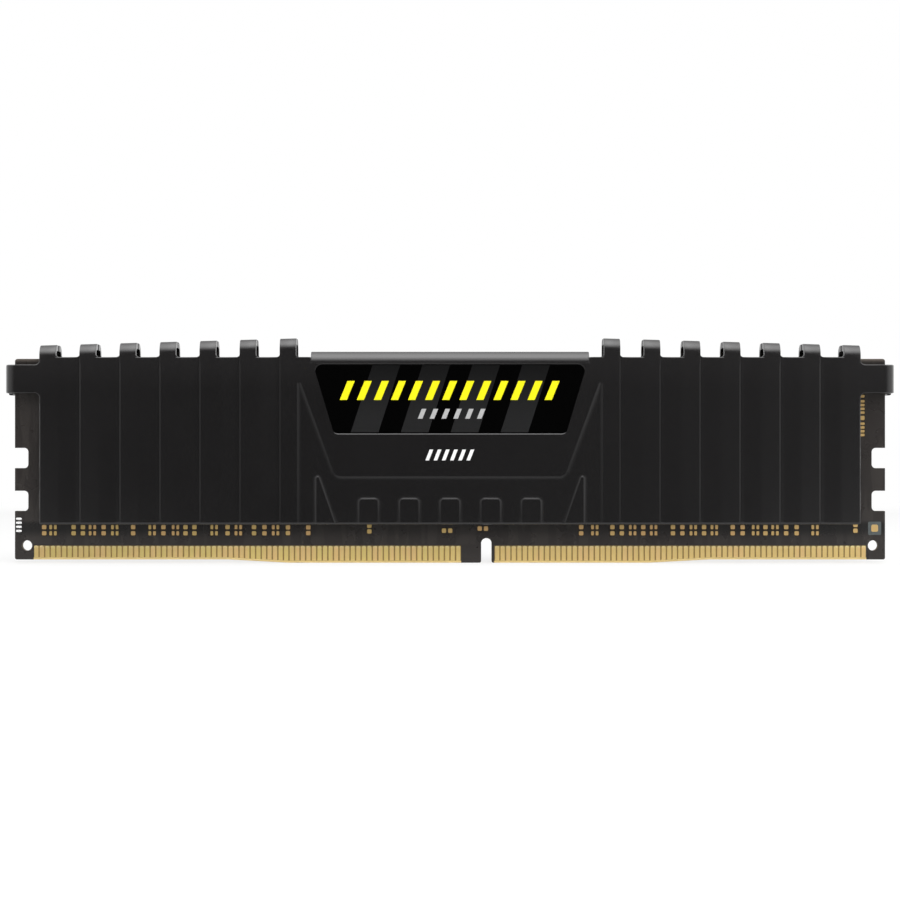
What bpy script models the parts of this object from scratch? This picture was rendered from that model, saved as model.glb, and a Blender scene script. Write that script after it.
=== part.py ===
"""Desktop memory module: a keyed edge-connector board held between two finned heat spreaders.

Frame: X runs along the module, Z up from the contact edge, and the front faces -Y. The origin is
the middle of the contact edge, halfway through the board.
"""
import math

import bmesh
import bpy
from mathutils import Vector

MM = 0.001

# Circuit board
BOARD_LENGTH = 133.35 * MM
BOARD_HEIGHT = 31.25 * MM
BOARD_THICKNESS = 1.4 * MM
BOARD_TOP_CORNER = 0.4 * MM
BOARD_FOOT_CORNER = 0.3 * MM
EDGE_STEP = 0.5 * MM
EDGE_RAMP = 9.3 * MM
EDGE_FLAT_LEFT = 24.7 * MM
EDGE_FLAT_RIGHT = 30.5 * MM
KEY_CENTRE = 5.57 * MM
KEY_WIDTH = 1.6 * MM
KEY_HEIGHT = 3.77 * MM
KEY_MOUTH = 0.3 * MM
NOTCH_HEIGHT = 3.1 * MM
NOTCH_DEPTH = 2.05 * MM
NOTCH_CORNER = 0.6 * MM
NOTCH_LOWER_CENTRE = 9.48 * MM
NOTCH_PITCH = 6.57 * MM
TOOLING_HOLE = 1.6 * MM
TOOLING_HOLE_INSET = 1.83 * MM
TOOLING_HOLE_HEIGHT = 2.64 * MM

# Gold contacts, raised on both faces of the board
CONTACT_PITCH = 0.85 * MM
CONTACT_WIDTH = 0.6 * MM
CONTACT_TOP = 2.6 * MM
CONTACT_RISE = 0.05 * MM
CONTACT_ROOT = 0.2 * MM
CONTACT_EDGE_GAP = 0.15 * MM
CONTACT_END_MARGIN = 3.3 * MM
CONTACT_LEFT_OF_KEY = 4.295 * MM
CONTACT_RIGHT_OF_KEY = 1.655 * MM

# Clearances: between faces that are soldered or stuck, and between bent sheets that nearly meet
SEAT_GAP = 0.05 * MM
EAR_SPLIT = 0.5 * MM
FIN_SPLIT = 1.0 * MM
FLAP_SPLIT = 0.6 * MM

# Heat spreader sheet
SPREADER_STANDOFF = 1.8 * MM
SPREADER_FOOT = 5.95 * MM
SPREADER_ABOVE_BOARD = 0.23 * MM
SPREADER_END_INSET = 4.13 * MM
SHEET = 0.75 * MM
RELIEF_RISE = 0.25 * MM

# Ribs that run up the sheet and curl over as fins
RIBS_PER_WING = 7
RIB_WIDTH = 2.75 * MM
RIB_FIRST = 24.57 * MM
FIN_RISE_INNER = 2.84 * MM
FIN_RISE_OUTER = 1.76 * MM
FIN_BEND = 1.45 * MM
FIN_FILLET = 0.5 * MM

# Flap along the middle of the top edge
FLAP_ABOVE_BOARD = 0.97 * MM
FLAP_BEND = 1.4 * MM
FLAP_END_GAP = 2.0 * MM

# Ears that fold round both ends of the board
EAR_BELOW_BOARD_TOP = 0.95 * MM
EAR_HEIGHT = 4.2 * MM
EAR_REACH = 1.26 * MM
EAR_BEND = 1.07 * MM
EAR_FILLET = 0.7 * MM
EAR_ROOT = 1.5 * MM

# Pressed field in the middle panel, with its bosses and peaks left standing
FIELD_DEPTH = 0.45 * MM
FIELD_DRAFT = 0.2 * MM
FIELD_MARGIN = 0.1 * MM
FIELD_APEX_DROP = 3.4 * MM
FIELD_APEX_CORNER = 0.1 * MM
PANEL_FOOT_RISE = 7.2 * MM
PANEL_FOOT_HALF = 17.45 * MM
PANEL_FOOT_CORNER = 0.75 * MM
BOSS_COUNT = 5
BOSS_PITCH = 6.2 * MM
BOSS_WIDTH = 3.0 * MM
BOSS_RISE = 4.15 * MM
BOSS_CORNER = 0.45 * MM
PEAK_SHARE_ACROSS = 0.46167
PEAK_WIDTH = 3.35 * MM
PEAK_RISE = 9.7 * MM
PEAK_CORNER = 0.45 * MM

# Badge and the pocket it lies in
POCKET_DROP = 1.26 * MM
POCKET_HEIGHT = 10.44 * MM
POCKET_END_GAP = 0.8 * MM
POCKET_SLANT = 3.0 * MM
POCKET_CORNER = 0.5 * MM
POCKET_DEPTH = 0.4 * MM
POCKET_DRAFT = 0.12 * MM
BADGE_CLEARANCE = 0.08 * MM
BADGE_THICKNESS = 0.25 * MM

# Memory chips on the rear face, in two banks, each chip heading its own lane of small parts
CHIPS_PER_BANK = 4
BANK_INSET_LEFT = 8.93 * MM
BANK_INSET_RIGHT = 13.68 * MM
LANE_PITCH = 9.33 * MM
CHIP_WIDTH = 7.5 * MM
CHIP_HEIGHT = 11.0 * MM
CHIP_THICKNESS = 0.8 * MM
CHIP_EDGE = 0.1 * MM
CHIP_CENTRE_HEIGHT = 15.5 * MM
BALL_HEIGHT = 0.3 * MM

# Small parts in the strip between the contacts and the spreader, and between the banks
STRIP_CENTRE_HEIGHT = 4.95 * MM
ARRAY_SIZE = 1.0 * MM
ARRAY_THICKNESS = 0.35 * MM
ARRAY_SLOT_WIDTH = 0.2 * MM
ARRAY_SLOT_DEPTH = 0.15 * MM
ARRAY_FROM_LANE = 2.95 * MM
RESISTOR_WIDTH = 0.5 * MM
RESISTOR_LENGTH = 1.0 * MM
RESISTOR_THICKNESS = 0.35 * MM
RESISTOR_TERMINAL = 0.22 * MM
RESISTOR_LANE_LEFT = 4.6 * MM
RESISTOR_LANE_MIDDLE = 0.1 * MM
RESISTOR_LANE_RIGHT = 1.3 * MM
CAPACITOR_WIDTH = 1.25 * MM
CAPACITOR_LENGTH = 2.0 * MM
CAPACITOR_THICKNESS = 0.85 * MM
CAPACITOR_TERMINAL = 0.45 * MM
CAPACITOR_PITCH = 4.0 * MM
TERMINAL_RISE = 0.03 * MM
SPD_WIDTH = 3.0 * MM
SPD_HEIGHT = 2.0 * MM
SPD_THICKNESS = 0.55 * MM
SPD_CENTRE = -3.0 * MM

# Soft pads between the spreaders and what they cool
PAD_END_INSET = 6.675 * MM
PAD_HEIGHT = 16.0 * MM
PAD_CORNER = 1.0 * MM

# Drawing of arcs
ARC_STEP = math.radians(22.5)
HOLE_SIDES = 24
TINY_RADIUS = 0.02 * MM
CUT_OVERRUN = 1.0 * MM

# Places worked out from the sizes above
BOARD_FACE = BOARD_THICKNESS / 2
BOARD_END = BOARD_LENGTH / 2
SHEET_INNER = BOARD_FACE + SPREADER_STANDOFF
VALLEY_FACE = SHEET_INNER + SHEET
RAISED_FACE = VALLEY_FACE + RELIEF_RISE
SPREADER_TOP = BOARD_HEIGHT + SPREADER_ABOVE_BOARD
SPREADER_END = BOARD_END - SPREADER_END_INSET
RIB_LAST = SPREADER_END - RIB_WIDTH / 2
RIB_PITCH = (RIB_LAST - RIB_FIRST) / (RIBS_PER_WING - 1)
PANEL_END = RIB_FIRST - RIB_WIDTH / 2
FLAP_END = PANEL_END - FLAP_END_GAP
CHIP_TOP = BOARD_FACE + BALL_HEIGHT + CHIP_THICKNESS


def rounded(corners):
    """Outline points from (u, v, radius) corners, with an arc wherever the radius isn't zero."""
    points = []
    for index, (u, v, radius) in enumerate(corners):
        here = Vector((u, v))
        back = (Vector(corners[index - 1][:2]) - here).normalized()
        ahead = (Vector(corners[(index + 1) % len(corners)][:2]) - here).normalized()
        if radius == 0.0:
            points.append(here)
            continue
        half = back.angle(ahead) / 2
        centre = here + (back + ahead).normalized() * (radius / math.sin(half))
        start = here + back * (radius / math.tan(half)) - centre
        sweep = math.pi - 2 * half
        if back.cross(ahead) > 0:
            sweep = -sweep
        steps = math.ceil(abs(sweep) / ARC_STEP)
        for step in range(steps + 1):
            angle = sweep * step / steps
            turned = Vector((start.x * math.cos(angle) - start.y * math.sin(angle),
                             start.x * math.sin(angle) + start.y * math.cos(angle)))
            points.append(centre + turned)
    return points


def grown(corners, distance):
    """Anticlockwise corners with every side moved outwards, and their arcs kept concentric."""
    moved = []
    for index, (u, v, radius) in enumerate(corners):
        here = Vector((u, v))
        arriving = (here - Vector(corners[index - 1][:2])).normalized()
        leaving = (Vector(corners[(index + 1) % len(corners)][:2]) - here).normalized()
        normal_in = Vector((arriving.y, -arriving.x))
        normal_out = Vector((leaving.y, -leaving.x))
        spot = here + (normal_in + normal_out) * (distance / (1 + normal_in.dot(normal_out)))
        if radius:
            bulge = distance if arriving.cross(leaving) > 0 else -distance
            radius = max(radius + bulge, TINY_RADIUS)
        moved.append((spot.x, spot.y, radius))
    return moved


def facing(points, y):
    """Lift outline points drawn in front view to a loop at one depth."""
    return [(point[0], y, point[1]) for point in points]


def add_loft(body, loops):
    """Add a closed body through loops of equal length, capped at the first and the last."""
    rings = [[body.verts.new(point) for point in loop] for loop in loops]
    for near, far in zip(rings, rings[1:]):
        for index in range(len(near)):
            body.faces.new((near[index - 1], near[index], far[index], far[index - 1]))
    body.faces.new(rings[0])
    body.faces.new(rings[-1])


def add_box(body, low, high):
    """Add a closed box between two corners."""
    loops = []
    for y in (low[1], high[1]):
        loops.append([(low[0], y, low[2]), (high[0], y, low[2]), (high[0], y, high[2]), (low[0], y, high[2])])
    add_loft(body, loops)


def finish_solid(name, body, material=None):
    """Turn a bmesh into a named object with its faces pointing out."""
    bmesh.ops.recalc_face_normals(body, faces=body.faces[:])
    mesh = bpy.data.meshes.new(name)
    body.to_mesh(mesh)
    body.free()
    if material:
        mesh.materials.append(material)
    solid = bpy.data.objects.new(name, mesh)
    bpy.context.scene.collection.objects.link(solid)
    return solid


def combine(solid, operation, tool):
    """Join the tool to a solid, or cut it away, and remove the tool."""
    modifier = solid.modifiers.new("combine", "BOOLEAN")
    modifier.solver = "EXACT"
    modifier.operation = operation
    modifier.object = tool
    evaluated = solid.evaluated_get(bpy.context.evaluated_depsgraph_get())
    mesh = bpy.data.meshes.new_from_object(evaluated)
    solid.modifiers.clear()
    solid.data = mesh
    bpy.data.objects.remove(tool)


def make_material(name, colour, roughness, metallic):
    """A Principled material of one colour."""
    material = bpy.data.materials.new(name)
    material.use_nodes = True
    shader = material.node_tree.nodes["Principled BSDF"]
    shader.inputs["Base Color"].default_value = (*colour, 1.0)
    shader.inputs["Roughness"].default_value = roughness
    shader.inputs["Metallic"].default_value = metallic
    return material


def contact_edge_height(x):
    """Height of the board's lower edge, which steps up towards both ends."""
    past_flat = x - EDGE_FLAT_RIGHT if x > 0 else -x - EDGE_FLAT_LEFT
    return EDGE_STEP * min(max(past_flat / EDGE_RAMP, 0.0), 1.0)


def notch_corners(side):
    """Corners of the latch notches on one end of the board, listed upwards."""
    corners = []
    for index in range(2):
        centre = NOTCH_LOWER_CENTRE + index * NOTCH_PITCH
        low = centre - NOTCH_HEIGHT / 2
        high = centre + NOTCH_HEIGHT / 2
        end = side * BOARD_END
        floor = side * (BOARD_END - NOTCH_DEPTH)
        corners += [(end, low, 0.0), (floor, low, NOTCH_CORNER)]
        corners += [(floor, high, NOTCH_CORNER), (end, high, 0.0)]
    return corners


def board_corners():
    """Corners of the board in front view, anticlockwise from the lower left."""
    key_left = KEY_CENTRE - KEY_WIDTH / 2
    key_right = KEY_CENTRE + KEY_WIDTH / 2
    key_round = KEY_WIDTH / 2 - TINY_RADIUS
    corners = [
        (-BOARD_END, EDGE_STEP, BOARD_FOOT_CORNER),
        (-EDGE_FLAT_LEFT - EDGE_RAMP, EDGE_STEP, 0.0),
        (-EDGE_FLAT_LEFT, 0.0, 0.0),
        (key_left, 0.0, KEY_MOUTH),
        (key_left, KEY_HEIGHT, key_round),
        (key_right, KEY_HEIGHT, key_round),
        (key_right, 0.0, KEY_MOUTH),
        (EDGE_FLAT_RIGHT, 0.0, 0.0),
        (EDGE_FLAT_RIGHT + EDGE_RAMP, EDGE_STEP, 0.0),
        (BOARD_END, EDGE_STEP, BOARD_FOOT_CORNER),
    ]
    corners += notch_corners(1)
    corners += [(BOARD_END, BOARD_HEIGHT, BOARD_TOP_CORNER), (-BOARD_END, BOARD_HEIGHT, BOARD_TOP_CORNER)]
    corners += reversed(notch_corners(-1))
    return corners


def contact_centres():
    """X of every contact on one face, counted outwards from the key."""
    centres = []
    for side, start in ((-1, KEY_CENTRE - CONTACT_LEFT_OF_KEY), (1, KEY_CENTRE + CONTACT_RIGHT_OF_KEY)):
        room = BOARD_END - CONTACT_END_MARGIN - side * start
        for index in range(int(room / CONTACT_PITCH) + 1):
            centres.append(start + side * index * CONTACT_PITCH)
    return centres


def build_board(material):
    """The board with its key, latch notches, tooling holes and raised contacts."""
    body = bmesh.new()
    outline = rounded(board_corners())
    add_loft(body, [facing(outline, -BOARD_FACE), facing(outline, BOARD_FACE)])
    board = finish_solid("circuit_board", body, material)

    holes = bmesh.new()
    for side in (-1, 1):
        ring = []
        for index in range(HOLE_SIDES):
            angle = 2 * math.pi * index / HOLE_SIDES
            ring.append((side * (BOARD_END - TOOLING_HOLE_INSET) + TOOLING_HOLE / 2 * math.cos(angle),
                         TOOLING_HOLE_HEIGHT + TOOLING_HOLE / 2 * math.sin(angle)))
        reach = BOARD_FACE + CUT_OVERRUN
        add_loft(holes, [facing(ring, -reach), facing(ring, reach)])
    combine(board, "DIFFERENCE", finish_solid("tooling_holes", holes))

    contacts = bmesh.new()
    for x in contact_centres():
        left = x - CONTACT_WIDTH / 2
        right = x + CONTACT_WIDTH / 2
        foot = max(contact_edge_height(left), contact_edge_height(right)) + CONTACT_EDGE_GAP
        for side in (-1, 1):
            depths = sorted((side * (BOARD_FACE - CONTACT_ROOT), side * (BOARD_FACE + CONTACT_RISE)))
            add_box(contacts, (left, depths[0], foot), (right, depths[1], CONTACT_TOP))
    combine(board, "UNION", finish_solid("contacts", contacts))
    return board


def bend_profile(foot, top, radius, tip):
    """Section of sheet that rises on the raised level, bends over at the top and runs back to a tip.

    Returned as (y, z) points round the section, for the front spreader.
    """
    outer = [(-RAISED_FACE, foot)]
    inner = [(-RAISED_FACE + SHEET, foot)]
    steps = math.ceil(math.pi / 2 / ARC_STEP)
    for step in range(steps + 1):
        angle = math.pi / 2 * step / steps
        across = math.cos(angle)
        up = math.sin(angle)
        for line, turn in ((outer, radius), (inner, radius - SHEET)):
            line.append((-RAISED_FACE + radius - turn * across, top - radius + turn * up))
    outer.append((-tip, top))
    inner.append((-tip, top - SHEET))
    return outer + inner[::-1]


def fin_top(x):
    """Height of the fins' top line, which falls from the middle towards the ends."""
    share = (abs(x) - PANEL_END) / (SPREADER_END - PANEL_END)
    return SPREADER_TOP + FIN_RISE_INNER + (FIN_RISE_OUTER - FIN_RISE_INNER) * share


def rib_centres():
    """X of every rib on the sheet."""
    places = [RIB_FIRST + index * RIB_PITCH for index in range(RIBS_PER_WING)]
    return [-x for x in reversed(places)] + places


def sheet_corners():
    """Corners of the flat sheet in front view, with a filleted root under every fin."""
    corners = [(-SPREADER_END, SPREADER_FOOT, 0.0), (SPREADER_END, SPREADER_FOOT, 0.0)]
    shoulder = SPREADER_TOP + FIN_FILLET + TINY_RADIUS
    for x in reversed(rib_centres()):
        for side, z in ((1, SPREADER_TOP), (1, shoulder), (-1, shoulder), (-1, SPREADER_TOP)):
            edge = x + side * RIB_WIDTH / 2
            at_end = abs(edge) > RIB_LAST
            if at_end and z == SPREADER_TOP:
                continue
            corners.append((edge, z, FIN_FILLET if z == SPREADER_TOP else 0.0))
    return corners


def ear_corners():
    """Corners of the flat root of the right ear in front view, filleted where it leaves the sheet."""
    low = BOARD_HEIGHT - EAR_BELOW_BOARD_TOP - EAR_HEIGHT
    high = low + EAR_HEIGHT
    inside = SPREADER_END - EAR_ROOT
    outside = BOARD_END + EAR_REACH - EAR_BEND
    return [
        (inside, low - EAR_ROOT, 0.0),
        (SPREADER_END, low - EAR_ROOT, 0.0),
        (SPREADER_END, low, EAR_FILLET),
        (outside, low, 0.0),
        (outside, high, 0.0),
        (SPREADER_END, high, EAR_FILLET),
        (SPREADER_END, high + EAR_FILLET + TINY_RADIUS, 0.0),
        (inside, high + EAR_FILLET + TINY_RADIUS, 0.0),
    ]


def ear_profile():
    """Section of the right ear seen from above, folded round the end of the board, as (x, y) points."""
    reach = BOARD_END + EAR_REACH
    start = reach - EAR_BEND
    outer = []
    inner = []
    steps = math.ceil(math.pi / 2 / ARC_STEP)
    for step in range(steps + 1):
        angle = math.pi / 2 * step / steps
        along = math.sin(angle)
        back = math.cos(angle)
        outer.append((start + EAR_BEND * along, -RAISED_FACE + EAR_BEND - EAR_BEND * back))
        inner_radius = EAR_BEND - SHEET
        inner.append((start + inner_radius * along, -RAISED_FACE + EAR_BEND - inner_radius * back))
    outer.append((reach, -EAR_SPLIT / 2))
    inner.append((reach - SHEET, -EAR_SPLIT / 2))
    root = start - EAR_ROOT
    return [(root, -RAISED_FACE)] + outer + inner[::-1] + [(root, -RAISED_FACE + SHEET)]


def mirrored(points):
    """Front-view or plan points reflected in the middle of the module."""
    return [(-point[0], point[1]) for point in points]


def field_corners():
    """Corners of the pressed field: up both sides of the panel, and round each boss and peak below."""
    side = PANEL_END - FIELD_MARGIN
    apex = SPREADER_TOP - FIELD_APEX_DROP
    panel_foot = SPREADER_FOOT + PANEL_FOOT_RISE
    below = SPREADER_FOOT - CUT_OVERRUN
    corners = [
        (side, below, 0.0),
        (side, apex, FIELD_APEX_CORNER),
        (PANEL_FOOT_HALF, panel_foot, PANEL_FOOT_CORNER),
        (-PANEL_FOOT_HALF, panel_foot, PANEL_FOOT_CORNER),
        (-side, apex, FIELD_APEX_CORNER),
        (-side, below, 0.0),
    ]
    peak_top = SPREADER_FOOT + PEAK_RISE
    lean = (side - PANEL_FOOT_HALF) / (apex - panel_foot)
    panel_edge = PANEL_FOOT_HALF + lean * (peak_top - panel_foot)
    peak_outer = panel_edge + PEAK_SHARE_ACROSS * (side - panel_edge)
    peak_foot = peak_outer - PEAK_WIDTH * (PEAK_RISE + CUT_OVERRUN) / PEAK_RISE
    corners += [(-peak_outer, below, 0.0), (-peak_outer, peak_top, PEAK_CORNER), (-peak_foot, below, 0.0)]
    boss_top = SPREADER_FOOT + BOSS_RISE
    for index in range(BOSS_COUNT):
        x = (index - (BOSS_COUNT - 1) / 2) * BOSS_PITCH
        left = x - BOSS_WIDTH / 2
        right = x + BOSS_WIDTH / 2
        corners += [(left, below, 0.0), (left, boss_top, BOSS_CORNER)]
        corners += [(right, boss_top, BOSS_CORNER), (right, below, 0.0)]
    corners += [(peak_foot, below, 0.0), (peak_outer, peak_top, PEAK_CORNER), (peak_outer, below, 0.0)]
    return corners


def pocket_corners():
    """Corners of the badge's pocket, wider at the top, anticlockwise in front view."""
    top = SPREADER_TOP - POCKET_DROP
    bottom = top - POCKET_HEIGHT
    wide = FLAP_END - POCKET_END_GAP
    narrow = wide - POCKET_SLANT
    return [
        (-narrow, bottom, POCKET_CORNER),
        (narrow, bottom, POCKET_CORNER),
        (wide, top, POCKET_CORNER),
        (-wide, top, POCKET_CORNER),
    ]


def drafted_cutter(name, corners, depth, draft):
    """Cutter that sinks a drafted recess into the raised level of the front spreader."""
    body = bmesh.new()
    floor = -RAISED_FACE + depth
    flare = draft / depth
    mouth = rounded(grown(corners, flare * CUT_OVERRUN))
    base = rounded(grown(corners, -draft))
    add_loft(body, [facing(mouth, -RAISED_FACE - CUT_OVERRUN), facing(base, floor)])
    return finish_solid(name, body)


def build_spreader(material):
    """Front heat spreader: ribbed sheet, curled fins, top flap, end ears and pressed middle panel."""
    body = bmesh.new()
    sheet = rounded(sheet_corners())
    add_loft(body, [facing(sheet, -VALLEY_FACE), facing(sheet, -SHEET_INNER)])
    spreader = finish_solid("front_heat_spreader", body, material)

    panel = bmesh.new()
    inner_level = -RAISED_FACE + SHEET
    add_box(panel, (-RIB_FIRST, -RAISED_FACE, SPREADER_FOOT), (RIB_FIRST, inner_level, SPREADER_TOP))
    combine(spreader, "UNION", finish_solid("panel", panel))

    flap = bmesh.new()
    flap_top = BOARD_HEIGHT + FLAP_ABOVE_BOARD
    profile = bend_profile(SPREADER_FOOT, flap_top, FLAP_BEND, FLAP_SPLIT / 2)
    add_loft(flap, [[(x, y, z) for y, z in profile] for x in (-FLAP_END, FLAP_END)])
    combine(spreader, "UNION", finish_solid("flap", flap))

    ribs = bmesh.new()
    for x in rib_centres():
        loops = []
        for edge in (x - RIB_WIDTH / 2, x + RIB_WIDTH / 2):
            profile = bend_profile(SPREADER_FOOT, fin_top(edge), FIN_BEND, FIN_SPLIT / 2)
            loops.append([(edge, y, z) for y, z in profile])
        add_loft(ribs, loops)
    combine(spreader, "UNION", finish_solid("ribs", ribs))

    low = BOARD_HEIGHT - EAR_BELOW_BOARD_TOP - EAR_HEIGHT
    for flip in (False, True):
        root = rounded(ear_corners())
        fold = ear_profile()
        if flip:
            root = mirrored(root)
            fold = mirrored(fold)
        roots = bmesh.new()
        add_loft(roots, [facing(root, -RAISED_FACE), facing(root, inner_level)])
        combine(spreader, "UNION", finish_solid("ear_root", roots))
        folds = bmesh.new()
        add_loft(folds, [[(x, y, z) for x, y in fold] for z in (low, low + EAR_HEIGHT)])
        combine(spreader, "UNION", finish_solid("ear_fold", folds))

    combine(spreader, "DIFFERENCE", drafted_cutter("field", field_corners(), FIELD_DEPTH, FIELD_DRAFT))
    combine(spreader, "DIFFERENCE", drafted_cutter("pocket", pocket_corners(), POCKET_DEPTH, POCKET_DRAFT))
    return spreader


def build_badge(material):
    """Badge plate that lies in the pocket of the front spreader."""
    body = bmesh.new()
    floor = -RAISED_FACE + POCKET_DEPTH - SEAT_GAP
    outline = rounded(grown(pocket_corners(), -POCKET_DRAFT - BADGE_CLEARANCE))
    add_loft(body, [facing(outline, floor - BADGE_THICKNESS), facing(outline, floor)])
    return finish_solid("badge_plate", body, material)


def build_pad(name, near, far, material):
    """Soft pad between two depths, level with the chips."""
    body = bmesh.new()
    low = CHIP_CENTRE_HEIGHT - PAD_HEIGHT / 2
    high = CHIP_CENTRE_HEIGHT + PAD_HEIGHT / 2
    end = BOARD_END - PAD_END_INSET
    corners = [(x, z, PAD_CORNER) for x, z in ((-end, low), (end, low), (end, high), (-end, high))]
    outline = rounded(corners)
    add_loft(body, [facing(outline, near), facing(outline, far)])
    return finish_solid(name, body, material)


def chip_body(width, height, thickness):
    """Moulded package with chamfered edges, standing on y = 0 and centred in front view."""
    body = bmesh.new()
    add_box(body, (-width / 2, 0.0, -height / 2), (width / 2, thickness, height / 2))
    bmesh.ops.bevel(body, geom=body.edges[:], offset=CHIP_EDGE, segments=1, affect="EDGES")
    return body


def terminal_body(width, length, thickness, terminal):
    """Two-ended chip part on y = 0: plated ends that stand a little proud of the ceramic between them."""
    body = bmesh.new()
    end = length / 2
    shoulder = end - terminal
    loops = []
    stations = ((-end, 0.0), (-shoulder, 0.0), (-shoulder, TERMINAL_RISE),
                (shoulder, TERMINAL_RISE), (shoulder, 0.0), (end, 0.0))
    for z, inset in stations:
        half = width / 2 - inset
        low = inset
        high = thickness - inset
        loops.append([(-half, low, z), (half, low, z), (half, high, z), (-half, high, z)])
    add_loft(body, loops)
    return body


def array_body():
    """Resistor array on y = 0: a square body with a slot between the terminals on its long sides."""
    half = ARRAY_SIZE / 2
    slot = ARRAY_SLOT_WIDTH / 2
    floor = half - ARRAY_SLOT_DEPTH
    lower = [(-half, -half), (-slot, -half), (-slot, -floor), (slot, -floor), (slot, -half), (half, -half)]
    outline = lower + [(-u, -v) for u, v in lower]
    body = bmesh.new()
    add_loft(body, [facing(outline, 0.0), facing(outline, ARRAY_THICKNESS)])
    return body


def place_copies(name, body, material, places):
    """One object for each place, numbered from 1 and sharing one mesh."""
    first = finish_solid(f"{name}_1", body, material)
    first.location = places[0]
    for number, place in enumerate(places[1:], start=2):
        copy = bpy.data.objects.new(f"{name}_{number}", first.data)
        copy.location = place
        bpy.context.scene.collection.objects.link(copy)


def lane_centres():
    """X of every memory chip, left bank first."""
    steps = [index * LANE_PITCH for index in range(CHIPS_PER_BANK)]
    left = [BANK_INSET_LEFT - BOARD_END + step for step in steps]
    right = [BOARD_END - BANK_INSET_RIGHT - step for step in reversed(steps)]
    return left + right


def build_rear_parts(materials):
    """Memory chips, their lanes of small parts, the supply capacitors and the settings memory."""
    lanes = lane_centres()
    seat = BOARD_FACE + SEAT_GAP
    chip_places = [(x, BOARD_FACE + BALL_HEIGHT, CHIP_CENTRE_HEIGHT) for x in lanes]
    chip = chip_body(CHIP_WIDTH, CHIP_HEIGHT, CHIP_THICKNESS)
    place_copies("dram_chip", chip, materials["chip"], chip_places)

    array_places = []
    resistor_places = []
    for x in lanes:
        for offset in (-ARRAY_FROM_LANE, ARRAY_FROM_LANE):
            array_places.append((x + offset, seat, STRIP_CENTRE_HEIGHT))
        for offset in (-RESISTOR_LANE_LEFT, -RESISTOR_LANE_MIDDLE, RESISTOR_LANE_RIGHT):
            resistor_places.append((x + offset, seat, STRIP_CENTRE_HEIGHT))
    place_copies("resistor_array", array_body(), materials["resistor"], array_places)
    resistor = terminal_body(RESISTOR_WIDTH, RESISTOR_LENGTH, RESISTOR_THICKNESS, RESISTOR_TERMINAL)
    place_copies("resistor", resistor, materials["resistor"], resistor_places)

    capacitor_places = []
    for step in (-2, -1, 1, 2):
        capacitor_places.append((SPD_CENTRE + step * CAPACITOR_PITCH, seat, CHIP_CENTRE_HEIGHT))
    capacitor = terminal_body(CAPACITOR_WIDTH, CAPACITOR_LENGTH, CAPACITOR_THICKNESS, CAPACITOR_TERMINAL)
    place_copies("bulk_capacitor", capacitor, materials["capacitor"], capacitor_places)

    spd = finish_solid("spd_memory", chip_body(SPD_WIDTH, SPD_HEIGHT, SPD_THICKNESS), materials["chip"])
    spd.location = (SPD_CENTRE, seat, CHIP_CENTRE_HEIGHT)


def main():
    """Build every piece of the module."""
    for old in list(bpy.data.objects):
        bpy.data.objects.remove(old)
    materials = {
        "board": make_material("solder_mask", (0.030, 0.026, 0.025), 0.45, 0.0),
        "spreader": make_material("black_anodised_aluminium", (0.016, 0.015, 0.015), 0.45, 0.6),
        "pad": make_material("thermal_pad", (0.35, 0.36, 0.38), 0.9, 0.0),
        "badge": make_material("gloss_badge", (0.004, 0.004, 0.004), 0.15, 0.0),
        "chip": make_material("moulding_compound", (0.018, 0.018, 0.019), 0.6, 0.0),
        "resistor": make_material("resistor_ceramic", (0.05, 0.05, 0.055), 0.5, 0.0),
        "capacitor": make_material("capacitor_ceramic", (0.27, 0.19, 0.12), 0.5, 0.0),
    }
    build_board(materials["board"])
    front = build_spreader(materials["spreader"])
    rear = bpy.data.objects.new("rear_heat_spreader", front.data)
    rear.rotation_euler.z = math.pi
    bpy.context.scene.collection.objects.link(rear)
    build_badge(materials["badge"])
    build_pad("front_thermal_pad", -SHEET_INNER + SEAT_GAP, -BOARD_FACE - SEAT_GAP, materials["pad"])
    build_pad("rear_thermal_pad", CHIP_TOP + SEAT_GAP, SHEET_INNER - SEAT_GAP, materials["pad"])
    build_rear_parts(materials)


main()
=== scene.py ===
"""Looks of a desktop memory module: a keyed board held between two finned heat spreaders.

Frame: X runs along the module, Z up from the contact edge, and the front faces -Y, in metres.
"""

from __future__ import annotations

import logging
import math
from collections.abc import Callable, Iterable, Sequence
from dataclasses import dataclass, replace
from enum import Enum

import bmesh
import bpy
from mathutils import Euler, Matrix, Vector

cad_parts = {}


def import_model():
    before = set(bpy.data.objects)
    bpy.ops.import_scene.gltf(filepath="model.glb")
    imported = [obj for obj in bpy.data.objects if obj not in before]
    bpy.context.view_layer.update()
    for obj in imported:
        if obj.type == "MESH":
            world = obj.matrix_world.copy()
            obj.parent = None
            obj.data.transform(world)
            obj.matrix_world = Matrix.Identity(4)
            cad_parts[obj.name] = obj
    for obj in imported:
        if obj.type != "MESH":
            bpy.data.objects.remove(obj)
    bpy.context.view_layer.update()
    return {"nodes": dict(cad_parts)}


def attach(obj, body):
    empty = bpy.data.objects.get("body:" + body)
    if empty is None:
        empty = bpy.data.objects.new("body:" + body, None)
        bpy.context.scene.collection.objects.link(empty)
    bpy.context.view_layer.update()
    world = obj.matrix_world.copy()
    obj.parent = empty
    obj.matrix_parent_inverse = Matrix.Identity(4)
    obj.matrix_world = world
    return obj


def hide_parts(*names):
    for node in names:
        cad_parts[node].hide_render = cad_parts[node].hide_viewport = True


LOG = logging.getLogger("memory_module")
MM = 0.001
TINY = 0.02 * MM
NEST = 0.005 * MM
WELD = 0.0005 * MM
ARC_STEP = math.radians(15.0)
QUARTER = math.pi / 2

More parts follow.
